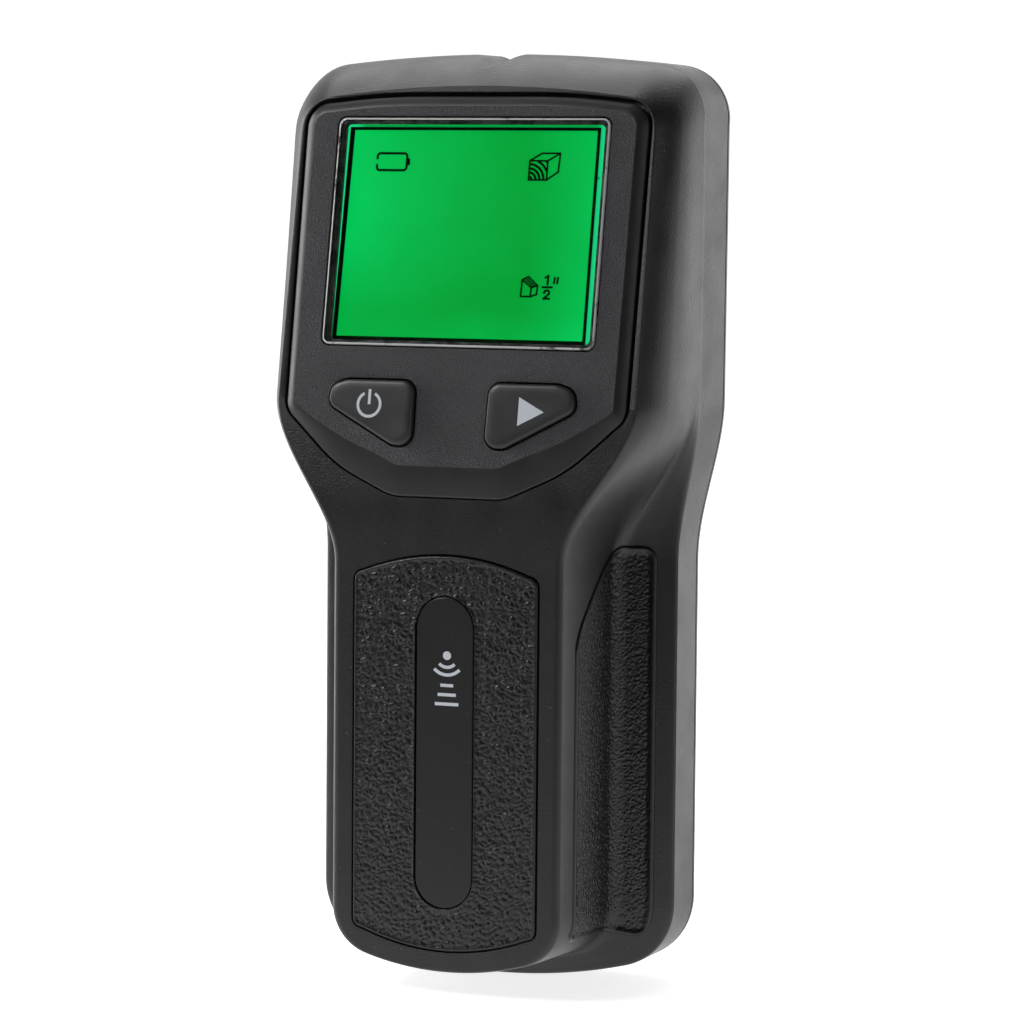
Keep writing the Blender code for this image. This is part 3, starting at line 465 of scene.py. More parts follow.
SKINS = {
    "shell": moulded("shell_plastic", (0.0120, 0.0120, 0.0128), 0.36, 0.32, 0.06, 0.5),
    "tile": moulded("tile_plastic", (0.0385, 0.0374, 0.0430), 0.44, 0.24, 0.45, 0.3),
    "bevel": moulded("tile_bevel_plastic", (0.0145, 0.0145, 0.0155), 0.40, 0.20, 0.006),
    "key": moulded("key_plastic", (0.0310, 0.0310, 0.0335), 0.36, 0.16, 0.006),
    "rubber": moulded("grip_rubber", (0.0075, 0.0075, 0.0081), 0.32, 0.16, 0.02, 0.25),
    "strip": moulded("strip_plastic", (0.0050, 0.0050, 0.0054), 0.34, 0.18, 0.004, 0.3),
    "black": moulded("black_plastic", (0.010, 0.010, 0.011), 0.45, 0.3, 0.01),
    "dark_frame": printed("lcd_border_ink", (0.0, 0.014, 0.002), 0.6, Specular_IOR_Level=0.05),
    "foam": moulded("gasket_foam", (0.03, 0.03, 0.03), 0.9, 0.25, 0.08),
    "white": moulded("holder_plastic", (0.72, 0.72, 0.69), 0.45, 0.3, 0.01, tone=0.05),
    "guide": moulded("light_guide_acrylic", (0.75, 0.85, 0.78), 0.2, 0.6, 0.01, tone=0.05),
    "zebra": moulded("contact_rubber", (0.45, 0.42, 0.40), 0.6, 0.2, 0.02),
    "jacket": moulded("battery_jacket", (0.06, 0.065, 0.08), 0.30, 0.8, 0.006, tone=0.08),
    "band": moulded("battery_band", (0.55, 0.36, 0.10), 0.30, 0.8, 0.006, tone=0.08),
    "red": moulded("red_insulation", (0.50, 0.03, 0.02), 0.40, 0.6, 0.01),
    "dark_lead": moulded("black_insulation", (0.015, 0.015, 0.015), 0.40, 0.6, 0.01),
    "ribbon": moulded("ribbon_film", (0.55, 0.55, 0.57), 0.35, 1.2, 0.01),
    "glow": glow("lcd_glow"),
    "edge_glow": edge_light("lcd_edge_glow"),
    # painted reflection: the lens edge's pale line with dark breaks stands in for the surroundings reflected
    # in its polished edge
    "lens_edge_painted_reflection": painted_reflections("lens_edge_painted_reflection", (0.05, 0.05, 0.05), (0.58, 0.58, 0.57), 0.22, 5.0, (0.34, 0.44)),
    # painted reflection: the lining's pale and dark patches stand in for reflections seen through the lens
    "lining": painted_reflections("well_lining_painted_reflection", (0.022, 0.022, 0.024), (0.105, 0.105, 0.11), 0.5, 3.0, (0.40, 0.60)),
    "clear": clear("window_acrylic"),
    "ink": printed("icon_ink", (0.64, 0.68, 0.74)),
    "segment": printed("segment_ink", (0.001, 0.012, 0.002), 0.6, Specular_IOR_Level=0.05),
    "steel": metal("screw_steel", (0.62, 0.61, 0.60), 0.28),
    "plate": metal("plated_contact", (0.75, 0.73, 0.68), 0.25),
    "copper": metal("copper_foil", (0.80, 0.42, 0.22), 0.32),
    "board": board_green("solder_mask"),
}


# ---------------------------------------------------------------- the shell's outer form


def front_y(z):
    """The shell's front surface: flat along the grip, leaning back under the tile."""
    lean = FACE_Y + TILE_PROUD + (z - WINDOW_Z) * TILT_RISE
    return 0.5 * (lean + FRONT_Y + math.hypot(lean - FRONT_Y, 0.6))


def waist(z):
    return smooth((z - WAIST_LOW) / (WAIST_HIGH - WAIST_LOW))


def between(a, b, t):
    return tuple(lerp(p, q, t) for p, q in zip(a, b))


def depth_share(y):
    return (y - FRONT_Y) / (SHOULDER_Y - FRONT_Y)


def head_out(u):
    """How far the head's side stands outside its front edge, at a share of its depth."""
    return (HEAD_BASE - HEAD_FRONT) * (0.18 * u + 0.82 * (1 - (1 - u) ** 4.4))


def shell_layers():
    """Rings from the front face's edge to the seam: the grip's half width and depth share, the
    head's half width and depth share, and how far the ring lies behind its depth."""
    edge = 1.4
    sections = []
    for step, u in enumerate((0.0, 0.01, 0.05, 0.11)):
        angle = math.radians(30 * step)
        y = FRONT_Y + edge * (1 - math.cos(angle))
        sections.append((GRIP_FRONT - edge + edge * math.sin(angle), y, u))
    sections += [(GRIP_FRONT + 0.35, -11.9, 0.19), (GRIP_FRONT + 0.85, -5.0, 0.29)]
    # the hollow corner between the front block and the wall, where fingers hold the grip
    scoop = corner_turn((22.1, -5.0), (22.9, 3.4), (GRIP_BASE - 0.4, 5.74), 3.5, 4)
    for i, (x, y) in enumerate(scoop):
        sections.append((x, y, lerp(0.39, 0.84, i / (len(scoop) - 1))))
    sections += [(29.9, 5.05, 0.91), (GRIP_BASE - 0.4, 5.74, 0.985)]
    layers = []
    for x, y, u in sections:
        out = head_out(u) if u else -0.1
        layers.append((x, depth_share(y), HEAD_FRONT + out, u, 0.0))
    layers.append((GRIP_BASE, 1.0, HEAD_BASE, 1.0, 0.36))
    layers.append((GRIP_BASE, 1.0, HEAD_BASE + WALL_FLARE, 1.0, SEAM_Y - SHOULDER_Y))
    return layers


def flowing(layers, steps, lead=None):
    """More layers on a smooth curve through the given ones. Spans are weighed by their length in
    the grip's and the head's section, so that the curve doesn't overshoot. lead is where the
    curve comes from."""
    depth = SHOULDER_Y - FRONT_Y
    scale = (1.0, depth, 1.0, depth, 1.0)

    def knot(a, b):
        return max(0.05, math.sqrt(sum(((p - q) * s) ** 2 for p, q, s in zip(a, b, scale)))) ** 0.5

    full = []
    for i in range(len(layers) - 1):
        p1, p2 = layers[i], layers[i + 1]
        p0 = layers[i - 1] if i else lead or between(p1, p2, -1.0)
        p3 = layers[i + 2] if i + 2 < len(layers) else between(p1, p2, 2.0)
        t1 = knot(p0, p1)
        t2 = t1 + knot(p1, p2)
        t3 = t2 + knot(p2, p3)
        for step in range(steps):
            t = lerp(t1, t2, step / steps)
            a1, a2 = between(p0, p1, t / t1), between(p1, p2, (t - t1) / (t2 - t1))
            a3 = between(p2, p3, (t - t2) / (t3 - t2))
            b1, b2 = between(a1, a2, t / t2), between(a2, a3, (t - t1) / (t3 - t1))
            full.append(between(b1, b2, (t - t1) / (t2 - t1)))
    return full + [layers[-1]]


def fine_layers():
    """The shell's layers, close together wherever it curves."""
    layers = shell_layers()
    wall = [between(layers[-2], layers[-1], t) for t in (0.06, 0.3, 0.6, 1.0)]
    front = (layers[0][0] - 0.5, 0.0, layers[0][2] - 0.3, 0.0, 0.0)
    return flowing(layers[:-1], 5, front) + wall


def half_width(ring, z):
    taper = lerp(*HEAD_TAPER, ring[3]) * max(0.0, z - WAIST_HIGH)
    return lerp(ring[0], ring[2], waist(z)) + taper


def ring_y(ring, z, inwards=0.0):
    share = lerp(ring[1], ring[3], waist(z))
    front = front_y(z)
    return min(front + ring[4] + share * (SHOULDER_Y - front) + inwards, SEAM_Y)


def corner_arc(half, arc, corner):
    """Where a round corner leaves an end curve: its x, the curve's slope there and its rise."""
    x = half - corner
    for _ in range(4):
        slope = math.asin(x / arc)
        x = half - corner * (1 - math.sin(slope))
    return x, slope, arc * (1 - math.cos(slope))


def end_sizes(ring):
    """Heights, end curves and corners of one ring."""
    share = min(max((ring[0] - GRIP_FRONT) / (GRIP_BASE - GRIP_FRONT), 0.0), 1.0)
    bottom = BLOCK_LIFT * (GRIP_BASE - ring[0]) / (GRIP_BASE - GRIP_FRONT)
    top = HEIGHT - CROWN_DROP * (1 - min(ring[3], 1.0)) ** 1.7
    return (
        (bottom, lerp(*BOTTOM_RADII, share), lerp(*BOTTOM_CORNERS, share)),
        (top, lerp(*TOP_RADII, ring[3]), lerp(*TOP_CORNERS, 1 - (1 - ring[3]) ** 4)),
    )


def ring_point(ring, tau, inset=(0.0, 0.0, 0.0)):
    """A point (x, z) of a ring's right half. tau runs 0-1 along the bottom, 1-2 round its corner,
    2-3 up the side, 3-4 round the top corner and 4-5 along the top."""
    ends = []
    for (z, sweep, corner), way, gap in zip(end_sizes(ring), (1, -1), inset[1:]):
        z += way * gap
        corner = max(corner - inset[0], 1.0)
        half = half_width(ring, z) - inset[0]
        edge, slope, rise = corner_arc(half, sweep, corner)
        ends.append((z, sweep, corner, half, edge, slope, z + way * (rise + corner * math.cos(slope))))
    if 2 < tau < 3:
        z = lerp(ends[0][-1], ends[1][-1], tau - 2)
        return half_width(ring, z) - inset[0], z
    way, along = (1, tau) if tau <= 2 else (-1, 5 - tau)
    z, sweep, corner, half, edge, slope, corner_z = ends[0 if tau <= 2 else 1]
    if along <= 1:
        x = edge * along
        return x, z + way * (sweep - math.sqrt(sweep**2 - x**2))
    angle = (2 - along) * (math.pi / 2 - slope)
    return half - corner + corner * math.cos(angle), corner_z - way * corner * math.sin(angle)


def taus():
    """Places along a ring's right half, about a millimetre apart, closer at the corners."""
    places = []
    for start, count in ((0, 16), (1, 16), (2, 140), (3, 16), (4, 20)):
        places += [start + i / count for i in range(count)]
    return places + [5.0]


def full_ring(ring, inset=(0.0, 0.0, 0.0), inwards=0.0, y=None):
    """A closed ring of (x, y, z) points, mirror-symmetric about X = 0."""
    right = []
    for tau in taus():
        x, z = ring_point(ring, tau, inset)
        right.append((x, ring_y(ring, z, inwards) if y is None else y, z))
    left = [(-x, depth, z) for x, depth, z in reversed(right[1:-1])]
    return right + left


def notch_tool():
    """The smooth V across the crown that guides a pencil."""
    steps = 28
    low = HEIGHT - NOTCH_DEPTH
    outline = []
    for i in range(steps + 1):
        x = NOTCH_HALF * (2 * i / steps - 1)
        share = abs(x) / NOTCH_HALF
        outline.append((x, low + NOTCH_DEPTH * 1.02 * (1 - math.cos(math.pi * share**0.9)) / 2))
    outline += [(NOTCH_HALF + 1.0, HEIGHT + 2.0), (-NOTCH_HALF - 1.0, HEIGHT + 2.0)]
    return tool(outline, -12.0, BACK_Y + 3.0)


def leaning(outline, steps):
    """A cutting solid whose outline is upright and whose depths lean with the tile."""
    rings = []
    for inset, depth in steps:
        ring = shrunk(outline, inset)
        rings.append([(x, FACE_Y + (z - WINDOW_Z) * TILT_RISE + depth, z) for x, z in ring])
    return stacked("tool", rings)


def tile_outline():
    """The recess that the tile lies in, seen square to the grip, anticlockwise."""
    right = [
        (10.5, 85.25, 9.0),
        (21.4, 90.2, 26.0),
        (31.75, 99.6, 4.2),
        (32.15, 152.45, 4.6),
        (17.0, 154.1, 120.0),
    ]
    left = [(-x, z, r) for x, z, r in reversed(right)]
    return softened(right + left, 14)


def front_shell():
    """The housing that shows from the front."""
    layers = shell_layers()
    outer = [full_ring(ring) for ring in fine_layers()]
    kept = [layers[i] for i in (0, 4, 6, 8, 10, 11, 12)]
    inset = (WALL, WALL, CROWN_WALL)
    inner = [full_ring(ring, inset, FRONT_WALL) for ring in kept]
    inner.append(full_ring(layers[-1], inset))
    shell = stacked("housing_front", outer + inner[::-1], SKINS["shell"], ends="strips")
    rim = 0.35
    recess = [(0, TILE_THICK + GAP)]
    recess += [(-rim * (1 - math.cos(a)), TILE_PROUD - 0.03 + rim * (1 - math.sin(a))) for a in quarter(5)]
    recess.append((-rim, -6.0))
    cut(shell, leaning(tile_outline(), recess))
    cut(shell, leaning(shrunk(tile_outline(), LEDGE), [(0, -6.0), (0, 8.0)]))
    cut(shell, tool(rounded(56.2, 45.9, 1.4), -2.0, 12.0, ON_TILE))
    cut(shell, pocket(panel_outline(0.2), FRONT_Y, FRONT_Y + PANEL_DEPTH, 0.3))
    for side in (1, -1):
        cut(shell, side_block(side, SIDE_DEPTH + GAP, 2.0, 0.06))
    cut(shell, notch_tool())
    return show(settle(shell), "housing", "housing", "front_shell")


def rear_shell():
    """The back plate with its tongue, battery bay and screw wells."""
    base = shell_layers()[-1]
    edge = 1.5
    rings = [full_ring(base, (0.15, 0.15, 0.15), y=SEAM_Y + GAP), full_ring(base, y=SEAM_Y + GAP + 0.15)]
    for angle in quarter(8):
        back = edge * (1 - math.cos(angle))
        rings.append(full_ring(base, (back, back, back), y=BACK_Y - edge + edge * math.sin(angle)))
    shell = stacked("housing_back", rings, SKINS["shell"], ends="strips")
    join(shell, tongue(base), *bay_blocks())
    cut(shell, *bay_rooms())
    for x, z in SHELL_SCREWS:
        join(shell, tool(circle(3.6, (x, z)), 13.4, 16.2))
        cut(shell, pocket(circle(2.9, (x, z)), BACK_Y, 15.1, 0.25, out=1.0))
        cut(shell, tool(circle(1.5, (x, z)), 12, 16))
    cut(shell, notch_tool())
    return show(settle(shell), "housing", "housing", "rear_shell")


def tongue(base):
    """The rim that locates the back plate inside the front shell."""
    outside = (WALL + GAP, WALL + GAP, CROWN_WALL + GAP)
    inside = tuple(v + 1.2 for v in outside)
    near, far = 13.0, 15.9
    corners = ((outside, near), (outside, far), (inside, far), (inside, near))
    return stacked("tool", [full_ring(base, inset, y=y) for inset, y in corners], ends="joined")


def bay_blocks():
    """The battery bay's walls, and the thicker collar that the door closes on."""
    wall, middle, tall = 1.4, (BAY_LOW + BAY_HIGH) / 2, BAY_HIGH - BAY_LOW
    width = 2 * (BAY_HALF + wall)
    walls = tool(rounded(width, tall + 2 * wall, 1.2, (0, middle)), BAY_FLOOR_Y - wall, 15.8)
    low, high = HINGE_Z - HINGE_R - 2.2, DOOR_HIGH + 2.0
    collar = tool(rounded(36.4, high - low, 1.0, (0, (low + high) / 2)), 13.2, 16.2)
    return walls, collar


def bay_rooms():
    """The battery's room, the leads' gap, the door's place and the sockets of its hinge pins."""
    middle, tall = (BAY_LOW + BAY_HIGH) / 2, BAY_HIGH - BAY_LOW
    room = tool(rounded(2 * BAY_HALF, tall, 0.8, (0, middle)), BAY_FLOOR_Y, 25.6)
    leads = tool(rounded(12.0, 6.0, 1.0, (0, BAY_HIGH + 1.0)), 0.0, 6.0)
    low, high = HINGE_Z - HINGE_R - GAP, DOOR_HIGH + GAP
    width = 2 * (DOOR_HALF + GAP)
    place = pocket(rounded(width, high - low, 0.8, (0, (low + high) / 2)), BACK_Y, 15.3, 0.2, out=1.0)
    toe = tool(rounded(width - 0.1, 3.4, 0.3, (0, low + 1.8)), 13.5, 18.0)
    return room, leads, place, toe, cross_pin(2 * (DOOR_HALF + 1.8), 0.9 + GAP)


def cross_pin(length, radius):
    """A pin along X on the door's hinge axis."""
    rings = []
    for x in (-length / 2, length / 2):
        rings.append([(x, y, z) for y, z in circle(radius, (HINGE_Y, HINGE_Z), 32)])
    return stacked("tool", rings)


# ---------------------------------------------------------------- display tile


def up_tile(z):
    """A height on the tool as a distance up the tile from the window's middle."""
    return (z - WINDOW_Z) / math.cos(TILT)


BEVEL_GROWTH = 0.4  # the bevel runs this much nearer to the shell than the CAD's


def crescent(z):
    """The width of the tile's bevel: narrow at the sides, wide under the buttons."""
    return 1.5 + 3.2 * smooth((up_tile(101.0) - z) / 14.0)


def face_plate():
    """The tile: a grained face with a smooth bevel round it."""
    outline = divided([(x, up_tile(z)) for x, z in tile_outline()], 1.2)
    slot = shrunk(outline, TILE_SLOT - BEVEL_GROWTH)
    rings = [at_depth(slot, TILE_THICK)]
    profile = ((0.0, 1.30), (0.012, 1.16), (0.04, 1.05), (0.08, 0.98), (0.35, 0.55), (0.65, 0.22))
    profile += ((0.85, 0.07), (0.95, 0.015), (1.0, 0.0))
    for share, depth in profile:
        ring = shrunk(slot, lambda x, z: share * (BEVEL_GROWTH + crescent(z)))
        rings.append(at_depth(ring, depth))
    plate = stacked("face_tile", rings, SKINS["bevel"], ON_TILE)
    plate.data.materials.append(SKINS["tile"])
    widest = max(plate.data.polygons, key=lambda face: face.area if face.normal.y < 0 else 0)
    widest.material_index = 1
    cut(plate, pocket(rounded(*WINDOW_SIZE, 1.6), 0.0, 1.75, 0.22, ON_TILE))
    cut(plate, tool(rounded(*VIEW_SIZE, 1.2), -5.0, 5.0, ON_TILE))
    for side in (-1, 1):
        cut(plate, pocket(shrunk(button_outline(side), -0.27), 0.0, 9.0, 0.2, ON_TILE))
    return show(settle(plate), "housing", "display_tile", "face_plate")


def button_outline(side):
    """Straight top, upright inner edge and a slanting lower edge, all with round corners."""
    top, tip, low = up_tile(105.0), up_tile(101.3), up_tile(94.1)
    corners = [(6.7, low - 0.2, 2.4), (10.4, low, 2.6), (22.9, tip - 0.6, 2.2), (22.2, top - 0.9, 2.2)]
    corners += [(19.4, top, 4.0), (6.9, top, 2.2)]
    outline = softened(corners, 10)
    if side > 0:
        return outline
    return [(-x, z) for x, z in reversed(outline)]


KEY_TOP = -0.95
KEY_PROFILE = ((-0.9, 3.9), (-0.9, 3.1), (0.0, 3.1), (0.0, -0.25), (0.03, -0.45), (0.12, -0.63))
KEY_PROFILE += ((0.28, -0.77), (0.50, -0.86), (0.80, -0.91), (1.20, -0.935), (1.80, KEY_TOP))


def key(name, side, body, node):
    """A key cap with a soft shoulder."""
    cap = layered(name, button_outline(side), KEY_PROFILE, SKINS["key"], ON_TILE)
    return show(settle(cap, 50), body, "keys", node)


def stroke(points, width, closed=False, ends=1):
    """A drawn line of even width as filled faces: each is a list of (x, z) points. ends is 0 where
    the line stops at its last point, and 1 where it runs half its width further."""
    faces = []
    for (x0, z0), (x1, z1) in zip(points, points[1:] + points[:1] if closed else points[1:]):
        x, z = (v * width / 2 for v in unit(x1 - x0, z1 - z0))
        near, far = (x0 - x * ends, z0 - z * ends), (x1 + x * ends, z1 + z * ends)
        corners = ((near, -1), (far, -1), (far, 1), (near, 1))
        faces.append([(px - side * z, pz + side * x) for (px, pz), side in corners])
    return faces


def arc_band(centre, radius, width, start, end, steps=48):
    """A curved line of even width as one filled face, angles in degrees."""
    start, end = math.radians(start), math.radians(end)
    inner, outer = (arc(centre, radius + side * width / 2, start, end, steps) for side in (-1, 1))
    return outer + inner[::-1]


def decal(name, shapes, front, thick, skin, place, body, slot):
    """Flat printed shapes, each a thin closed solid whose front lies at depth front."""
    points, faces = [], []
    for i, shape in enumerate(shapes):
        start, count = len(points), len(shape)
        lift = front - 0.0015 * i
        points += at_depth(shape, lift) + at_depth(shape, front + thick)
        faces.append(tuple(range(start, start + count)))
        faces.append(tuple(range(start + 2 * count - 1, start + count - 1, -1)))
        for a in range(count):
            b = (a + 1) % count
            faces.append((start + a, start + b, start + count + b, start + count + a))
    item = make(name, points, faces, skin, place)
    item.data.set_sharp_from_angle(angle=math.radians(30))
    return show(item, body, slot)


def key_marks():
    centre, radius, line = (-14.85, -30.1), 2.08, 0.5
    ring = arc_band(centre, radius, line, 118, 422)
    bar = stroke([(centre[0], centre[1] + 0.25), (centre[0], centre[1] + 2.35)], line)[0]
    decal("power_mark", [ring, bar], KEY_TOP - 0.03, 0.05, SKINS["ink"], ON_TILE, "power_key", "keys")
    arrow = [(12.75, -33.0), (17.4, -30.55), (12.75, -28.1)]
    decal("select_mark", [arrow], KEY_TOP - 0.03, 0.05, SKINS["ink"], ON_TILE, "select_key", "keys")


LCD_FRONT = 3.62


def display():
    """The window, the lit panel under it and everything that the panel shows."""
    window_parts()
    panel = block("lcd_lit_panel", (51.4, 1.72, 41.0), (0, 4.54, 0), 0.3, SKINS["glow"], ON_TILE, 0.05)
    show(settle(panel), "housing", "lcd", "lcd_panel")
    outer = ((-25.1, -18.6), (23.35, -18.8), (23.3, 19.1), (-24.9, 19.1))
    middle = ((-24.75, -18.5), (22.35, -18.5), (22.3, 18.7), (-24.35, 18.7))
    inner = ((-23.9, -17.85), (21.75, -17.85), (21.7, 18.15), (-23.45, 18.15))
    flat_on_lcd("lcd_border", frame_strips(middle, inner), "dark_frame")
    flat_on_lcd("lcd_edge_glow", frame_strips(outer, middle)[1:], "edge_glow")
    flat_on_lcd("lcd_icons", lcd_icons(), "segment")
    pins = [rounded(1.0, 0.5, 0.1, (-12.6 + 1.55 * i, -18.75), 2) for i in range(5)]
    flat_on_lcd("lcd_contacts", pins, "segment")


def flat_on_lcd(name, shapes, skin):
    decal(name, shapes, LCD_FRONT - 0.02, 0.02, SKINS[skin], ON_TILE, "housing", "lcd")


def frame_strips(outer, inner):
    """The bottom, right, top and left strips between two four-cornered outlines."""
    return [[outer[i], outer[(i + 1) % 4], inner[(i + 1) % 4], inner[i]] for i in range(4)]


def window_parts():
    """The clear lens, its polished edge with a painted reflection, and the well's lining down to the panel,
    with painted reflection patches.
    """
    outline = rounded(WINDOW_SIZE[0] - 0.5, WINDOW_SIZE[1] - 0.5, 1.4)
    line, under = 0.36, 1.42
    steps = [(line, under), (line, -0.16), (line + 0.1, -0.18)]
    lens = layered("window_lens", outline, steps, SKINS["clear"], ON_TILE)
    show(settle(lens, 25), "housing", "window", "display_window")
    steps = [(0.0, 1.40), (0.0, 0.10), (0.08, -0.05), (0.2, -0.13), (line - 0.01, -0.16), (line - 0.01, 1.40)]
    # the rim's pale streaked colour is painted reflection
    rim = layered("window_edge", outline, steps, SKINS["lens_edge_painted_reflection"], ON_TILE, "joined")
    show(settle(rim), "housing", "window")
    wide, tall, top, floor = VIEW_SIZE[0] - 0.1, VIEW_SIZE[1] - 0.1, 1.46, 3.56
    outside = rounded(wide, tall, 1.15)
    inside = rounded(wide - 2.0, tall - 1.55, 0.9, (0.0, 0.02))
    foot = rounded(48.3, 37.9, 0.6, (-0.6, 0.2))
    rings = [at_depth(*pair) for pair in ((outside, floor), (outside, top), (inside, top), (foot, floor))]
    # the lining's grey streaks are painted reflections
    lining = stacked("window_lining", rings, SKINS["lining"], ON_TILE, "joined")
    show(settle(lining), "housing", "window", "display_gasket")


def lcd_icons():
    """Battery, wood block, small block and the depth figure, each at its place on the panel."""
    signs = ((battery_sign(), (-18.8, 11.15)), (wood_block(), (9.7, 9.65)))
    signs += ((small_block(), (9.9, -10.4)), (half_inch(), (14.65, -8.75)))
    return [[(x + dx, z + dz) for x, z in shape] for shapes, (dx, dz) in signs for shape in shapes]


def battery_sign():
    """A round-cornered outline with a gap in its left side and a contact on its right."""
    wide, tall, line, turn, gap = 5.6, 2.95, 0.42, 0.55, 0.8
    right, high, middle = wide - turn, tall - turn, tall / 2
    shapes = []
    for i, centre in enumerate(((right, high), (turn, high), (turn, turn), (right, turn))):
        shapes.append(arc_band(centre, turn, line, 90 * i, 90 * i + 90, 10))
    for z in (0, tall):
        shapes += stroke([(turn, z), (right, z)], line, ends=0)
    for x, low, top in ((wide, turn, high), (0, turn, middle - gap / 2), (0, middle + gap / 2, high)):
        shapes += stroke([(x, low), (x, top)], line, ends=0)
    return shapes + stroke([(wide + 0.35, middle - 0.6), (wide + 0.35, middle + 0.6)], 0.5, ends=0)


def wood_block():
    """A block in outline with its growth rings on the near end."""
    side, line, far_x, far_z = 3.3, 0.32, 2.2, 1.3
    corner, back = (side, side), (side + far_x, side + far_z)
    shapes = stroke([(0, 0), (side, 0), corner, (0, side)], line, closed=True)
    shapes += stroke([(0, side), (far_x, back[1]), back, (back[0] - 0.15, far_z + 0.1), (side, 0)], line)
    shapes += stroke([corner, back], line)
    for radius, start in ((0.55, 0), (1.28, 0), (1.98, 0), (2.72, 0), (3.55, 25)):
        shapes.append(arc_band((0, 0), radius, 0.42, start, 90 - start, 16))
    return shapes + [[corner, (side - 0.55, side), (side, side - 0.7)]]


def small_block():
    """A block with a dark sloping top."""
    at = {"a": (0, 0), "b": (1.75, 0), "c": (1.85, 1.55), "d": (0.1, 2.85), "e": (1.2, 3.4)}
    at.update({"f": (2.95, 1.9), "g": (2.9, 0.38)})
    shapes = []
    for path in ("abcda", "cfgb", "defc"):
        shapes += stroke([at[name] for name in path], 0.31)
    for share in (0.3, 0.5, 0.7):
        ends = [between(at["d"], at["e"], share), between(at["c"], at["f"], share)]
        shapes += stroke(ends, 0.16, ends=0)
    return shapes


def half_inch():
    """One half and an inch sign, about the middle of the fraction's bar."""
    two = [(-0.5, -0.95), (-0.3, -0.62), (0.12, -0.55), (0.42, -0.78), (0.38, -1.15), (-0.5, -1.95)]
    paths = [[(-0.85, 0), (0.85, 0)], [(-0.4, 1.65), (0.08, 1.95), (0.02, 0.5)], two + [(0.5, -1.95)]]
    paths += [[(x, 0.75), (x + 0.08, 1.6)] for x in (1.2, 1.78)]
    return [shape for path in paths for shape in stroke(path, 0.36)]


# ---------------------------------------------------------------- grip


def panel_outline(grow=0.0, corner=1.6):
    """The front grip panel: straight sides, bulging ends and round corners."""
    half, span, straight = PANEL_HALF, PANEL_LOW + PANEL_HIGH, 30
    end = []
    for i in range(25):
        x = lerp(corner - half, half - corner, i / 24)
        end.append((x, PANEL_LOW - PANEL_BULGE * (1 - (x / half) ** 2)))
    turn = []
    for i in range(1, 10):
        t = i / 9
        x = lerp(half, half - corner, (1 - t) ** 2)
        turn.append((x, end[0][1] + corner * (0.2 * t * (1 - t) + 1.25 * t**2)))
    start = turn[-1][1]
    side = [(half, lerp(start, span - start, i / straight)) for i in range(1, straight + 1)]
    part = [(-x, z) for x, z in turn[-2::-1]] + end + turn + side
    return shrunk(part + [(-x, span - z) for x, z in part], -grow)


def grain(point, size):
    """Leather relief at a place on the tool, from 0 in a crease to 1 on a pebble. The pebbles are
    about size millimetres wide and slant up to the right."""
    spot = point / size
    spot = spot + noise.noise_vector(spot * 0.6) * 0.55
    spot = Vector((spot.x * 0.92 - spot.z * 0.38, spot.y, spot.z * 0.80 + spot.x * 0.30))
    near = noise.voronoi(spot)[0]
    rise = min(1.0, (near[1] - near[0]) / 0.55)
    pebble = 1 - (1 - rise) ** 2
    swell = noise.noise(spot * 0.9 + Vector((7.1, 3.3, 1.7)))
    fine = noise.noise(point * 3.1)
    return pebble * (0.80 + 0.30 * swell) + 0.12 * fine


def edge_distance(outline, points):
    """How far inside an outline each point lies, and the nearest place on it; outside is < 0."""
    a = np.array(outline)
    b = np.roll(a, -1, axis=0)
    d = b - a
    length = (d**2).sum(1)
    rel = points[:, None, :] - a[None]
    t = np.clip((rel * d).sum(2) / length, 0, 1)
    gap = rel - t[..., None] * d
    reach = np.hypot(gap[..., 0], gap[..., 1])
    best = reach.argmin(1)
    rows = np.arange(len(points))
    nearest = a[best] + t[rows, best][:, None] * d[best]
    cross = d[best, 0] * rel[rows, best, 1] - d[best, 1] * rel[rows, best, 0]
    return np.where(cross >= 0, 1, -1) * reach[rows, best], nearest


def lip_curve(distance, radius):
    """The drop of a rounded edge at a distance from the rim."""
    t = np.clip(distance / radius, 0, 1)
    return radius * (1 - np.sqrt(np.clip(1 - (1 - t) ** 2, 0, 1)))


def edge_distances(outline, points):
    parts = [edge_distance(outline, chunk) for chunk in np.array_split(points, 12)]
    return [np.concatenate(part) for part in zip(*parts)]


def front_grip():
    """The leather-grained panel on the grip's front, with a bed for the name strip."""
    step = 0.155
    wide, tall = round(2 * PANEL_HALF / step), round((PANEL_HIGH - PANEL_LOW + 2 * PANEL_BULGE) / step)
    xs = np.linspace(-PANEL_HALF, PANEL_HALF, wide + 1)
    bulge = PANEL_BULGE * (1 - (xs / PANEL_HALF) ** 2)
    low, high = PANEL_LOW - bulge, PANEL_HIGH + bulge
    heights = low[:, None] + (high - low)[:, None] * np.linspace(0, 1, tall + 1)[None]
    flat = np.stack([np.repeat(xs, tall + 1), heights.ravel()], 1)
    inside, nearest = edge_distances(panel_outline(), flat)
    flat[inside < 0] = nearest[inside < 0]
    inside = np.maximum(inside, 0)
    slot = obround(STRIP_HALF + 0.1, STRIP_LOW - 0.1, STRIP_HIGH + 0.1)
    sunk = edge_distances(slot, flat)[0]
    front, edge, bed = FRONT_Y - PANEL_PROUD, 0.45, FRONT_Y + 0.72
    relief = np.array([grain(Vector((x, 0.0, z)), 0.9) for x, z in flat])
    fade = np.clip((inside - 0.35) / 0.5, 0, 1) * np.clip((-sunk - 0.15) / 0.4, 0, 1)
    depth = front + lip_curve(inside, edge) + lip_curve(-sunk, 0.25) + GRAIN_DEPTH * (1 - relief) * fade
    depth = np.where(sunk > 0, bed, depth)
    depth[inside <= 0] = front + edge
    top = [(x, y, z) for (x, z), y in zip(flat, depth)]
    under = FRONT_Y + PANEL_DEPTH - GAP
    panel = grid_cushion("front_grip_leather", top, wide + 1, tall + 1, lambda p: (p[0], under, p[2]))
    return show(panel, "housing", "grip_rubber", "front_grip")


GRAIN_DEPTH = 0.25


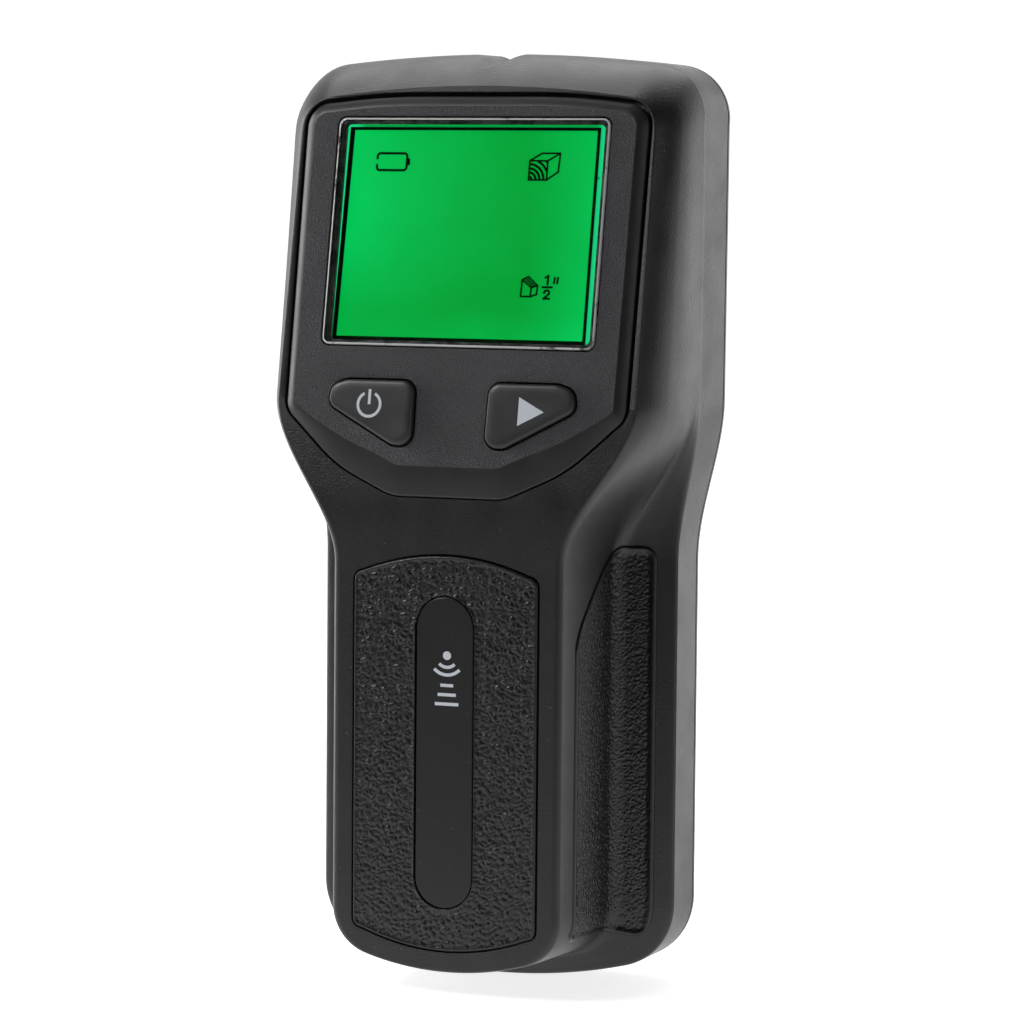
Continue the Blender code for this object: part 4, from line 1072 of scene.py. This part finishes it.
def grid_faces(wide, tall):
    """The faces of a grid of points, and the points round its rim."""
    starts = [i * tall + j for i in range(wide - 1) for j in range(tall - 1)]
    rim = [i * tall for i in range(wide)] + [(wide - 1) * tall + j for j in range(1, tall)]
    rim += [i * tall + tall - 1 for i in range(wide - 2, -1, -1)] + list(range(tall - 2, 0, -1))
    return [(a, a + tall, a + tall + 1, a + 1) for a in starts], rim


def grid_cushion(name, top, wide, tall, behind):
    """A closed solid: a fine grid on top, a plain back found point by point from its rim."""
    faces, rim = grid_faces(wide, tall)
    count, turns = len(top), len(rim)
    for i in range(turns):
        j = (i + 1) % turns
        faces.append((rim[j], rim[i], count + i, count + j))
    columns, last = wide - 1, 2 * (wide - 1) + tall - 1
    for i in range(columns):
        high = last - i
        right = [high - 1, i + 1] if i < columns - 1 else list(range(high - 1, i, -1))
        left = [] if i else list(range(turns - 1, high, -1))
        faces.append(tuple(count + k for k in [i, *left, high, *right]))
    item = make(name, top + [behind(top[i]) for i in rim], faces, SKINS["rubber"])
    item.data.set_sharp_from_angle(angle=math.radians(60))
    return item


PAD_REACH = 24.0  # the pad's developed width, from its front edge to its outer edge
PAD_Z = 40.0  # the height at which the pad's rings are measured


def pad_ends(ring, share, grow):
    """The pad's lower and upper limits on one ring, as places along the ring."""
    y = ring_y(ring, PAD_Z)
    high = 76.7 - 0.573 * max(0.0, 3.2 - y) ** 1.2 + grow
    low = 1.55 - 0.03 * grow
    turn = 2.8
    reach = min(share, 1.0 - share) * PAD_REACH
    if reach < turn:
        drop = turn - math.sqrt(turn**2 - (turn - reach) ** 2)
        high -= drop
        low += 0.075 * drop
    start = ring_point(ring, 2.0)[1]
    finish = ring_point(ring, 3.0)[1]
    return low, 2 + (high - start) / (finish - start)


def pad_line(ring, ends, rows):
    """Points (x, z) evenly spaced up one ring of the pad, and the length that they cover."""
    low, high = ends
    corner = (2 - low) * end_sizes(ring)[0][2] * 1.32
    tall = ring_point(ring, 3.0)[1] - ring_point(ring, 2.0)[1]
    length = corner + (high - 2) * tall
    points = []
    for row in range(rows + 1):
        place = length * row / rows
        tau = low + (2 - low) * place / corner if place < corner else 2 + (place - corner) / tall
        points.append(ring_point(ring, tau))
    return points, length


def side_normal(a, b):
    """The outward direction, in X and Y, of the shell's side between two rings."""
    run = unit(half_width(b, PAD_Z) - half_width(a, PAD_Z), ring_y(b, PAD_Z) - ring_y(a, PAD_Z))
    return run[1], -run[0]


def pad_columns(count, grow):
    """Evenly spaced rings across the pad, each with its share of the way and its normal."""
    layers = shell_layers()
    first, last = 4, len(layers) - 4
    rings = [between(layers[3], layers[4], 1.0 - 0.06 * grow)] + layers[first + 1 : last]
    rings.append(between(layers[last], layers[last + 1], 0.12 * grow))
    fine = flowing(rings, 24)
    spots = np.array([(half_width(r, PAD_Z), ring_y(r, PAD_Z)) for r in fine])
    run = np.concatenate([[0], np.cumsum(np.hypot(*np.diff(spots, axis=0).T))])
    columns = []
    for share in np.linspace(0, 1, count):
        place = share * run[-1]
        i = min(max(int(np.searchsorted(run, place)) - 1, 0), len(fine) - 2)
        ring = between(fine[i], fine[i + 1], (place - run[i]) / (run[i + 1] - run[i]))
        columns.append((ring, float(share), side_normal(fine[i], fine[i + 1])))
    return columns, run[-1]


def side_block(side, depth, proud, grow):
    """A cutting solid in the shape of the pad's recess."""
    columns, _ = pad_columns(49, grow)
    rows = 60
    lines = {proud: [], -depth: []}
    for ring, share, normal in columns:
        points, _ = pad_line(ring, pad_ends(ring, share, grow), rows)
        for offset, line in lines.items():
            for x, z in points:
                line.append((side * (x + normal[0] * offset), ring_y(ring, z) + normal[1] * offset, z))
    return two_grids(lines[proud], lines[-depth], len(columns), rows + 1)


def two_grids(outer, inner, wide, tall):
    """A closed solid between two equal grids of points."""
    faces, rim = grid_faces(wide, tall)
    shift = len(outer)
    faces += [tuple(shift + k for k in reversed(face)) for face in faces]
    for a, b in zip(rim, rim[1:] + rim[:1]):
        faces.append((a, b, shift + b, shift + a))
    return make("tool", outer + inner, faces)


def side_grip(side, name, node):
    """A rubber pad in the finger hollow: a smooth raised rim round a sunken leather field."""
    count, rows = 175, 480
    columns, reach = pad_columns(count, 0.0)
    top, under = [], {}
    lip, sink = 1.3, 0.3
    for ring, share, normal in columns:
        points, length = pad_line(ring, pad_ends(ring, share, 0.0), rows)
        for row, (x, z) in enumerate(points):
            y = ring_y(ring, z)
            along = length * row / rows
            inside = min(share * reach, (1 - share) * reach, along, length - along)
            field = smooth((inside - 0.4) / lip)
            relief = grain(Vector((x, y, z)), 0.62)
            offset = SIDE_PROUD - 0.30 * (1 - min(1.0, inside / 0.5)) ** 2
            offset -= field * (sink + 0.65 * GRAIN_DEPTH * (1 - relief))
            spot = (side * (x + normal[0] * offset), y + normal[1] * offset, z)
            top.append(spot)
            down = offset + SIDE_DEPTH - 0.1
            under[spot] = (spot[0] - side * normal[0] * down, spot[1] - normal[1] * down, z)
    pad = grid_cushion(name, top, count, rows + 1, lambda p: under[p])
    return show(pad, "housing", "grip_rubber", node)


def name_strip():
    """The smooth inlay in the grip, and a plain row of marks in place of lettering."""
    front, back = FRONT_Y - PANEL_PROUD + 0.18, FRONT_Y + 0.6
    outline = obround(STRIP_HALF, STRIP_LOW, STRIP_HIGH)
    steps = [(0, back)] + round_edge(0, front, 0.3, 6)
    strip = layered("grip_inlay", outline, steps, SKINS["strip"])
    show(settle(strip, 50), "housing", "strip", "name_strip")
    middle, top, line = 0.43, 59.3, 0.55
    shapes = [circle(0.75, (middle, top - 0.7), 32)]
    for radius in (2.0, 3.3):
        shapes.append(arc_band((middle, top - 0.7), radius, line, 225, 315, 20))
    for i, half in enumerate((0.9, 1.4, 1.9)):
        z = top - 5.8 - 1.6 * i
        shapes += stroke([(middle - half, z), (middle + half, z)], line)
    decal("grip_marks", shapes, front - 0.03, 0.05, SKINS["ink"], UPRIGHT, "housing", "strip")


# ---------------------------------------------------------------- back of the tool


def battery_door():
    """A flush lid, rounded about its hinge pins, with a ribbed thumb hollow and an arrow."""
    inner, outer = SEAM_Y + 0.1 + GAP, BACK_Y
    profile = [(inner, HINGE_Z - 0.6)] + arc((HINGE_Y, HINGE_Z), HINGE_R, math.radians(-80), 0, 16)
    profile += [(outer, DOOR_HIGH - 0.2), (outer - 0.06, DOOR_HIGH - 0.06), (outer - 0.2, DOOR_HIGH)]
    profile.append((inner, DOOR_HIGH))
    soft = 0.15
    rings = []
    for x, inset in ((-DOOR_HALF, soft), (soft - DOOR_HALF, 0), (DOOR_HALF - soft, 0), (DOOR_HALF, soft)):
        rings.append([(x, y, z) for y, z in shrunk(profile, inset)])
    door = stacked("battery_lid", rings, SKINS["shell"])
    join(door, cross_pin(2 * (DOOR_HALF + 1.5), 0.9))
    hollow = rounded(15.0, 6.5, 2.8, (0, DOOR_HIGH - 6.0))
    cut(door, pocket(hollow, outer, outer - 0.6, 0.3, out=1.0))
    for i in range(3):
        rib = rounded(12.0, 0.7, 0.3, (0, DOOR_HIGH - 7.8 + 1.8 * i))
        join(door, layered("tool", rib, [(0, outer - 0.9), (0, outer - 0.3), (0.1, outer - 0.2)]))
    arrow = softened([(-3.4, 54.5, 0.5), (3.4, 54.5, 0.5), (0.0, 57.6, 0.5)], 5)
    cut(door, pocket(arrow, outer, outer - 0.35, 0.12, out=1.0))
    return show(settle(door), "door", "housing", "battery_door")


def screws():
    """Countersunk shell screws with crossed recesses, seen in the wells of the back."""
    for number, (x, z) in enumerate(SHELL_SCREWS, 1):
        outline = circle(2.4, (x, z))
        steps = [(2.0, 8.0), (1.3, 9.2), (1.3, 15.4), (0.0, 15.4), (0.0, 16.3)]
        steps += [(0.1, 16.6), (0.4, 16.82), (0.9, 16.9)]
        item = layered(f"shell_fastener_{number}", outline, steps, SKINS["steel"])
        for size in ((2.9, 0.6), (0.6, 2.9)):
            cut(item, tool(rounded(*size, 0.15, (x, z), 3), 16.0, 17.5))
        show(settle(item), "housing", "screws", f"shell_screw_{number}")


def upright(name, outline, steps, skin=None):
    """A solid from one outline of (x, y) points: steps are (inset, z) pairs."""
    rings = [[(x, y, z) for x, y in shrunk(outline, inset)] for inset, z in steps]
    return stacked(name, rings, skin)


def battery():
    """A block battery with a wrapped jacket, a plated top and its two snap studs."""
    width, deep, tall = BATTERY
    centre_y, low = 15.0 - GAP - deep / 2, BAY_LOW + 0.9
    top = low + tall
    outline = rounded(width, deep, 2.2, (0, centre_y))
    body = [(1.2, low), (0.5, low + 0.15), (0.12, low + 0.5), (0.0, low + 1.1), (0.0, low + 15.5)]
    body += [(0.0, low + 15.6), (0.0, top - 1.1), (0.12, top - 0.5), (0.5, top - 0.15), (0.9, top)]
    body += [(0.95, top - 0.5), (1.4, top - 0.5)]
    cell = upright("battery_cell", outline, body, SKINS["jacket"])
    cell.data.materials.append(SKINS["band"])
    cell.data.materials.append(SKINS["plate"])
    for face in cell.data.polygons:
        height = face.center.z / MM
        plated = height > top - 0.2 and abs(face.normal.z) > 0.5
        face.material_index = 1 if height < low + 15.55 else 2 if plated else 0
    for x, radius in ((-6.35, 2.9), (6.35, 2.6)):
        stud = [(0.0, top - 0.7), (0.0, top + 1.2), (0.2, top + 1.7), (0.7, top + 2.0)]
        join(cell, upright("tool", circle(radius, (x, centre_y), 32), stud))
    show(settle(cell), "housing", "battery_jacket", "battery_9v")


# ---------------------------------------------------------------- parts kept as the CAD has them


def dress_nodes():
    """Finishes for the inner parts, which keep their CAD shapes."""
    looks = {
        "foam": ("display_gasket",),
        "white": ("lcd_holder", "power_plunger", "select_plunger"),
        "guide": ("light_guide", "backlight_led_left", "backlight_led_right"),
        "zebra": ("contact_strip",),
        "board": ("main_board", "sensor_board"),
        "black": ("power_switch", "select_switch", "controller_chip", "buzzer", "snap_connector"),
        "steel": ("board_screw_1", "board_screw_2", "sensor_screw_1", "sensor_screw_2"),
        "copper": ("sensor_coil", "sensor_plate_left", "sensor_plate_right"),
        "red": ("red_lead",),
        "dark_lead": ("black_lead",),
        "ribbon": ("sensor_ribbon",),
    }
    for skin, names in looks.items():
        for name in names:
            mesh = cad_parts[name].data
            mesh.materials.clear()
            mesh.materials.append(SKINS[skin])


# ---------------------------------------------------------------- studio


def sweep():
    """A pale floor that curves up into a backdrop behind the object."""
    skin = Skin("backdrop_paper", 0.8, Emission_Strength=1.0)
    lit = skin.spread(skin.spot()["Y"], -0.17, -0.03, 0.05, 0.80)
    skin.drive(skin.add("ShaderNodeCombineXYZ", {0: lit, 1: lit, 2: lit}).outputs[0], "Emission Color")
    skin.drive(skin.mix(skin.noise(60.0, 3.0), (0.56, 0.56, 0.56), (0.60, 0.60, 0.60)))
    half, front, back, bend, rise = 2600.0, -2400.0, 900.0, 500.0, 2200.0
    profile = [(front, 0.0)] + arc((back, bend), bend, -math.pi / 2, 0, 16) + [(back + bend, rise)]
    points = [(x, y, z) for y, z in profile for x in (-half, half)]
    faces = [(2 * i, 2 * i + 1, 2 * i + 3, 2 * i + 2) for i in range(len(profile) - 1)]
    make("backdrop", points, faces, skin.made)


def lamp(name, place, aim, size, power):
    """A rectangular soft light at a place in millimetres, turned towards aim."""
    light = bpy.data.lights.new(name, "AREA")
    light.shape = "RECTANGLE"
    light.size, light.size_y = size[0] * MM, size[1] * MM
    light.energy = power
    item = bpy.data.objects.new(name, light)
    item.location = Vector(place) * MM
    way = (Vector(aim) - Vector(place)).normalized()
    item.rotation_euler = way.to_track_quat("-Z", "Y").to_euler()
    bpy.context.scene.collection.objects.link(item)


def surroundings():
    """A white room to the camera; to the object it is dim, so that the lamps and the backdrop
    do the lighting."""
    world = bpy.data.worlds.new("studio")
    world.use_nodes = True
    tree = world.node_tree
    way = add_node(tree, "ShaderNodeTexCoord").outputs["Generated"]
    depth = add_node(tree, "ShaderNodeSeparateXYZ", {0: way}).outputs["Y"]
    span = {"Value": depth, "From Min": -0.4, "From Max": 0.6, "To Min": 0.12, "To Max": 0.86}
    strength = add_node(tree, "ShaderNodeMapRange", span).outputs["Result"]
    dim = tree.nodes["Background"]
    tree.links.new(strength, dim.inputs["Strength"])
    white = add_node(tree, "ShaderNodeBackground", {"Color": (1.0, 1.0, 1.0, 1.0)})
    seen = add_node(tree, "ShaderNodeLightPath").outputs["Is Camera Ray"]
    mix = add_node(tree, "ShaderNodeMixShader", {0: seen, 1: dim.outputs[0], 2: white.outputs[0]})
    tree.links.new(mix.outputs[0], tree.nodes["World Output"].inputs["Surface"])
    bpy.context.scene.world = world


def camera():
    """A long lens in front of the tool, to its right and a little above."""
    aim = Vector((3.821, 2.44, 81.8))
    turn, rise, roll, distance = math.radians(22.577), math.radians(4.625), math.radians(0.504), 705.388
    back = Vector((math.sin(turn) * math.cos(rise), -math.cos(turn) * math.cos(rise), math.sin(rise)))
    lens = bpy.data.cameras.new("camera")
    lens.sensor_width = 36.0
    lens.lens = 142.77
    lens.clip_start, lens.clip_end = 0.05, 20.0
    item = bpy.data.objects.new("camera", lens)
    facing = (-back).to_track_quat("-Z", "Y").to_matrix().to_4x4()
    place = Matrix.Translation((aim + back * distance) * MM)
    item.matrix_world = place @ facing @ Matrix.Rotation(roll, 4, "Z")
    bpy.context.scene.collection.objects.link(item)
    bpy.context.scene.camera = item


def studio():
    bpy.context.scene.view_settings.view_transform = "Standard"
    surroundings()
    sweep()
    middle = (0, 0, 85)
    lamp("key_light", (-640, -560, 860), middle, (450, 450), 3.9)
    lamp("face_light", (-285, -300, 345), (0, -10, 125), (130, 130), 0.56)
    lamp("top_light", (-120, 420, 880), middle, (900, 400), 4.2)
    lamp("left_light", (-900, 60, 260), middle, (500, 600), 5.0)
    lamp("right_light", (780, -450, 300), middle, (160, 450), 0.5)
    lamp("right_rim_light", (420, 840, 180), middle, (260, 700), 1.0)
    camera()


def build():
    studio()
    front_shell()
    rear_shell()
    face_plate()
    key("power_cap", -1, "power_key", "power_button")
    key("select_cap", 1, "select_key", "select_button")
    key_marks()
    display()
    front_grip()
    name_strip()
    side_grip(-1, "side_leather_left", "side_grip_left")
    side_grip(1, "side_leather_right", "side_grip_right")
    battery_door()
    screws()
    battery()
    dress_nodes()


build()
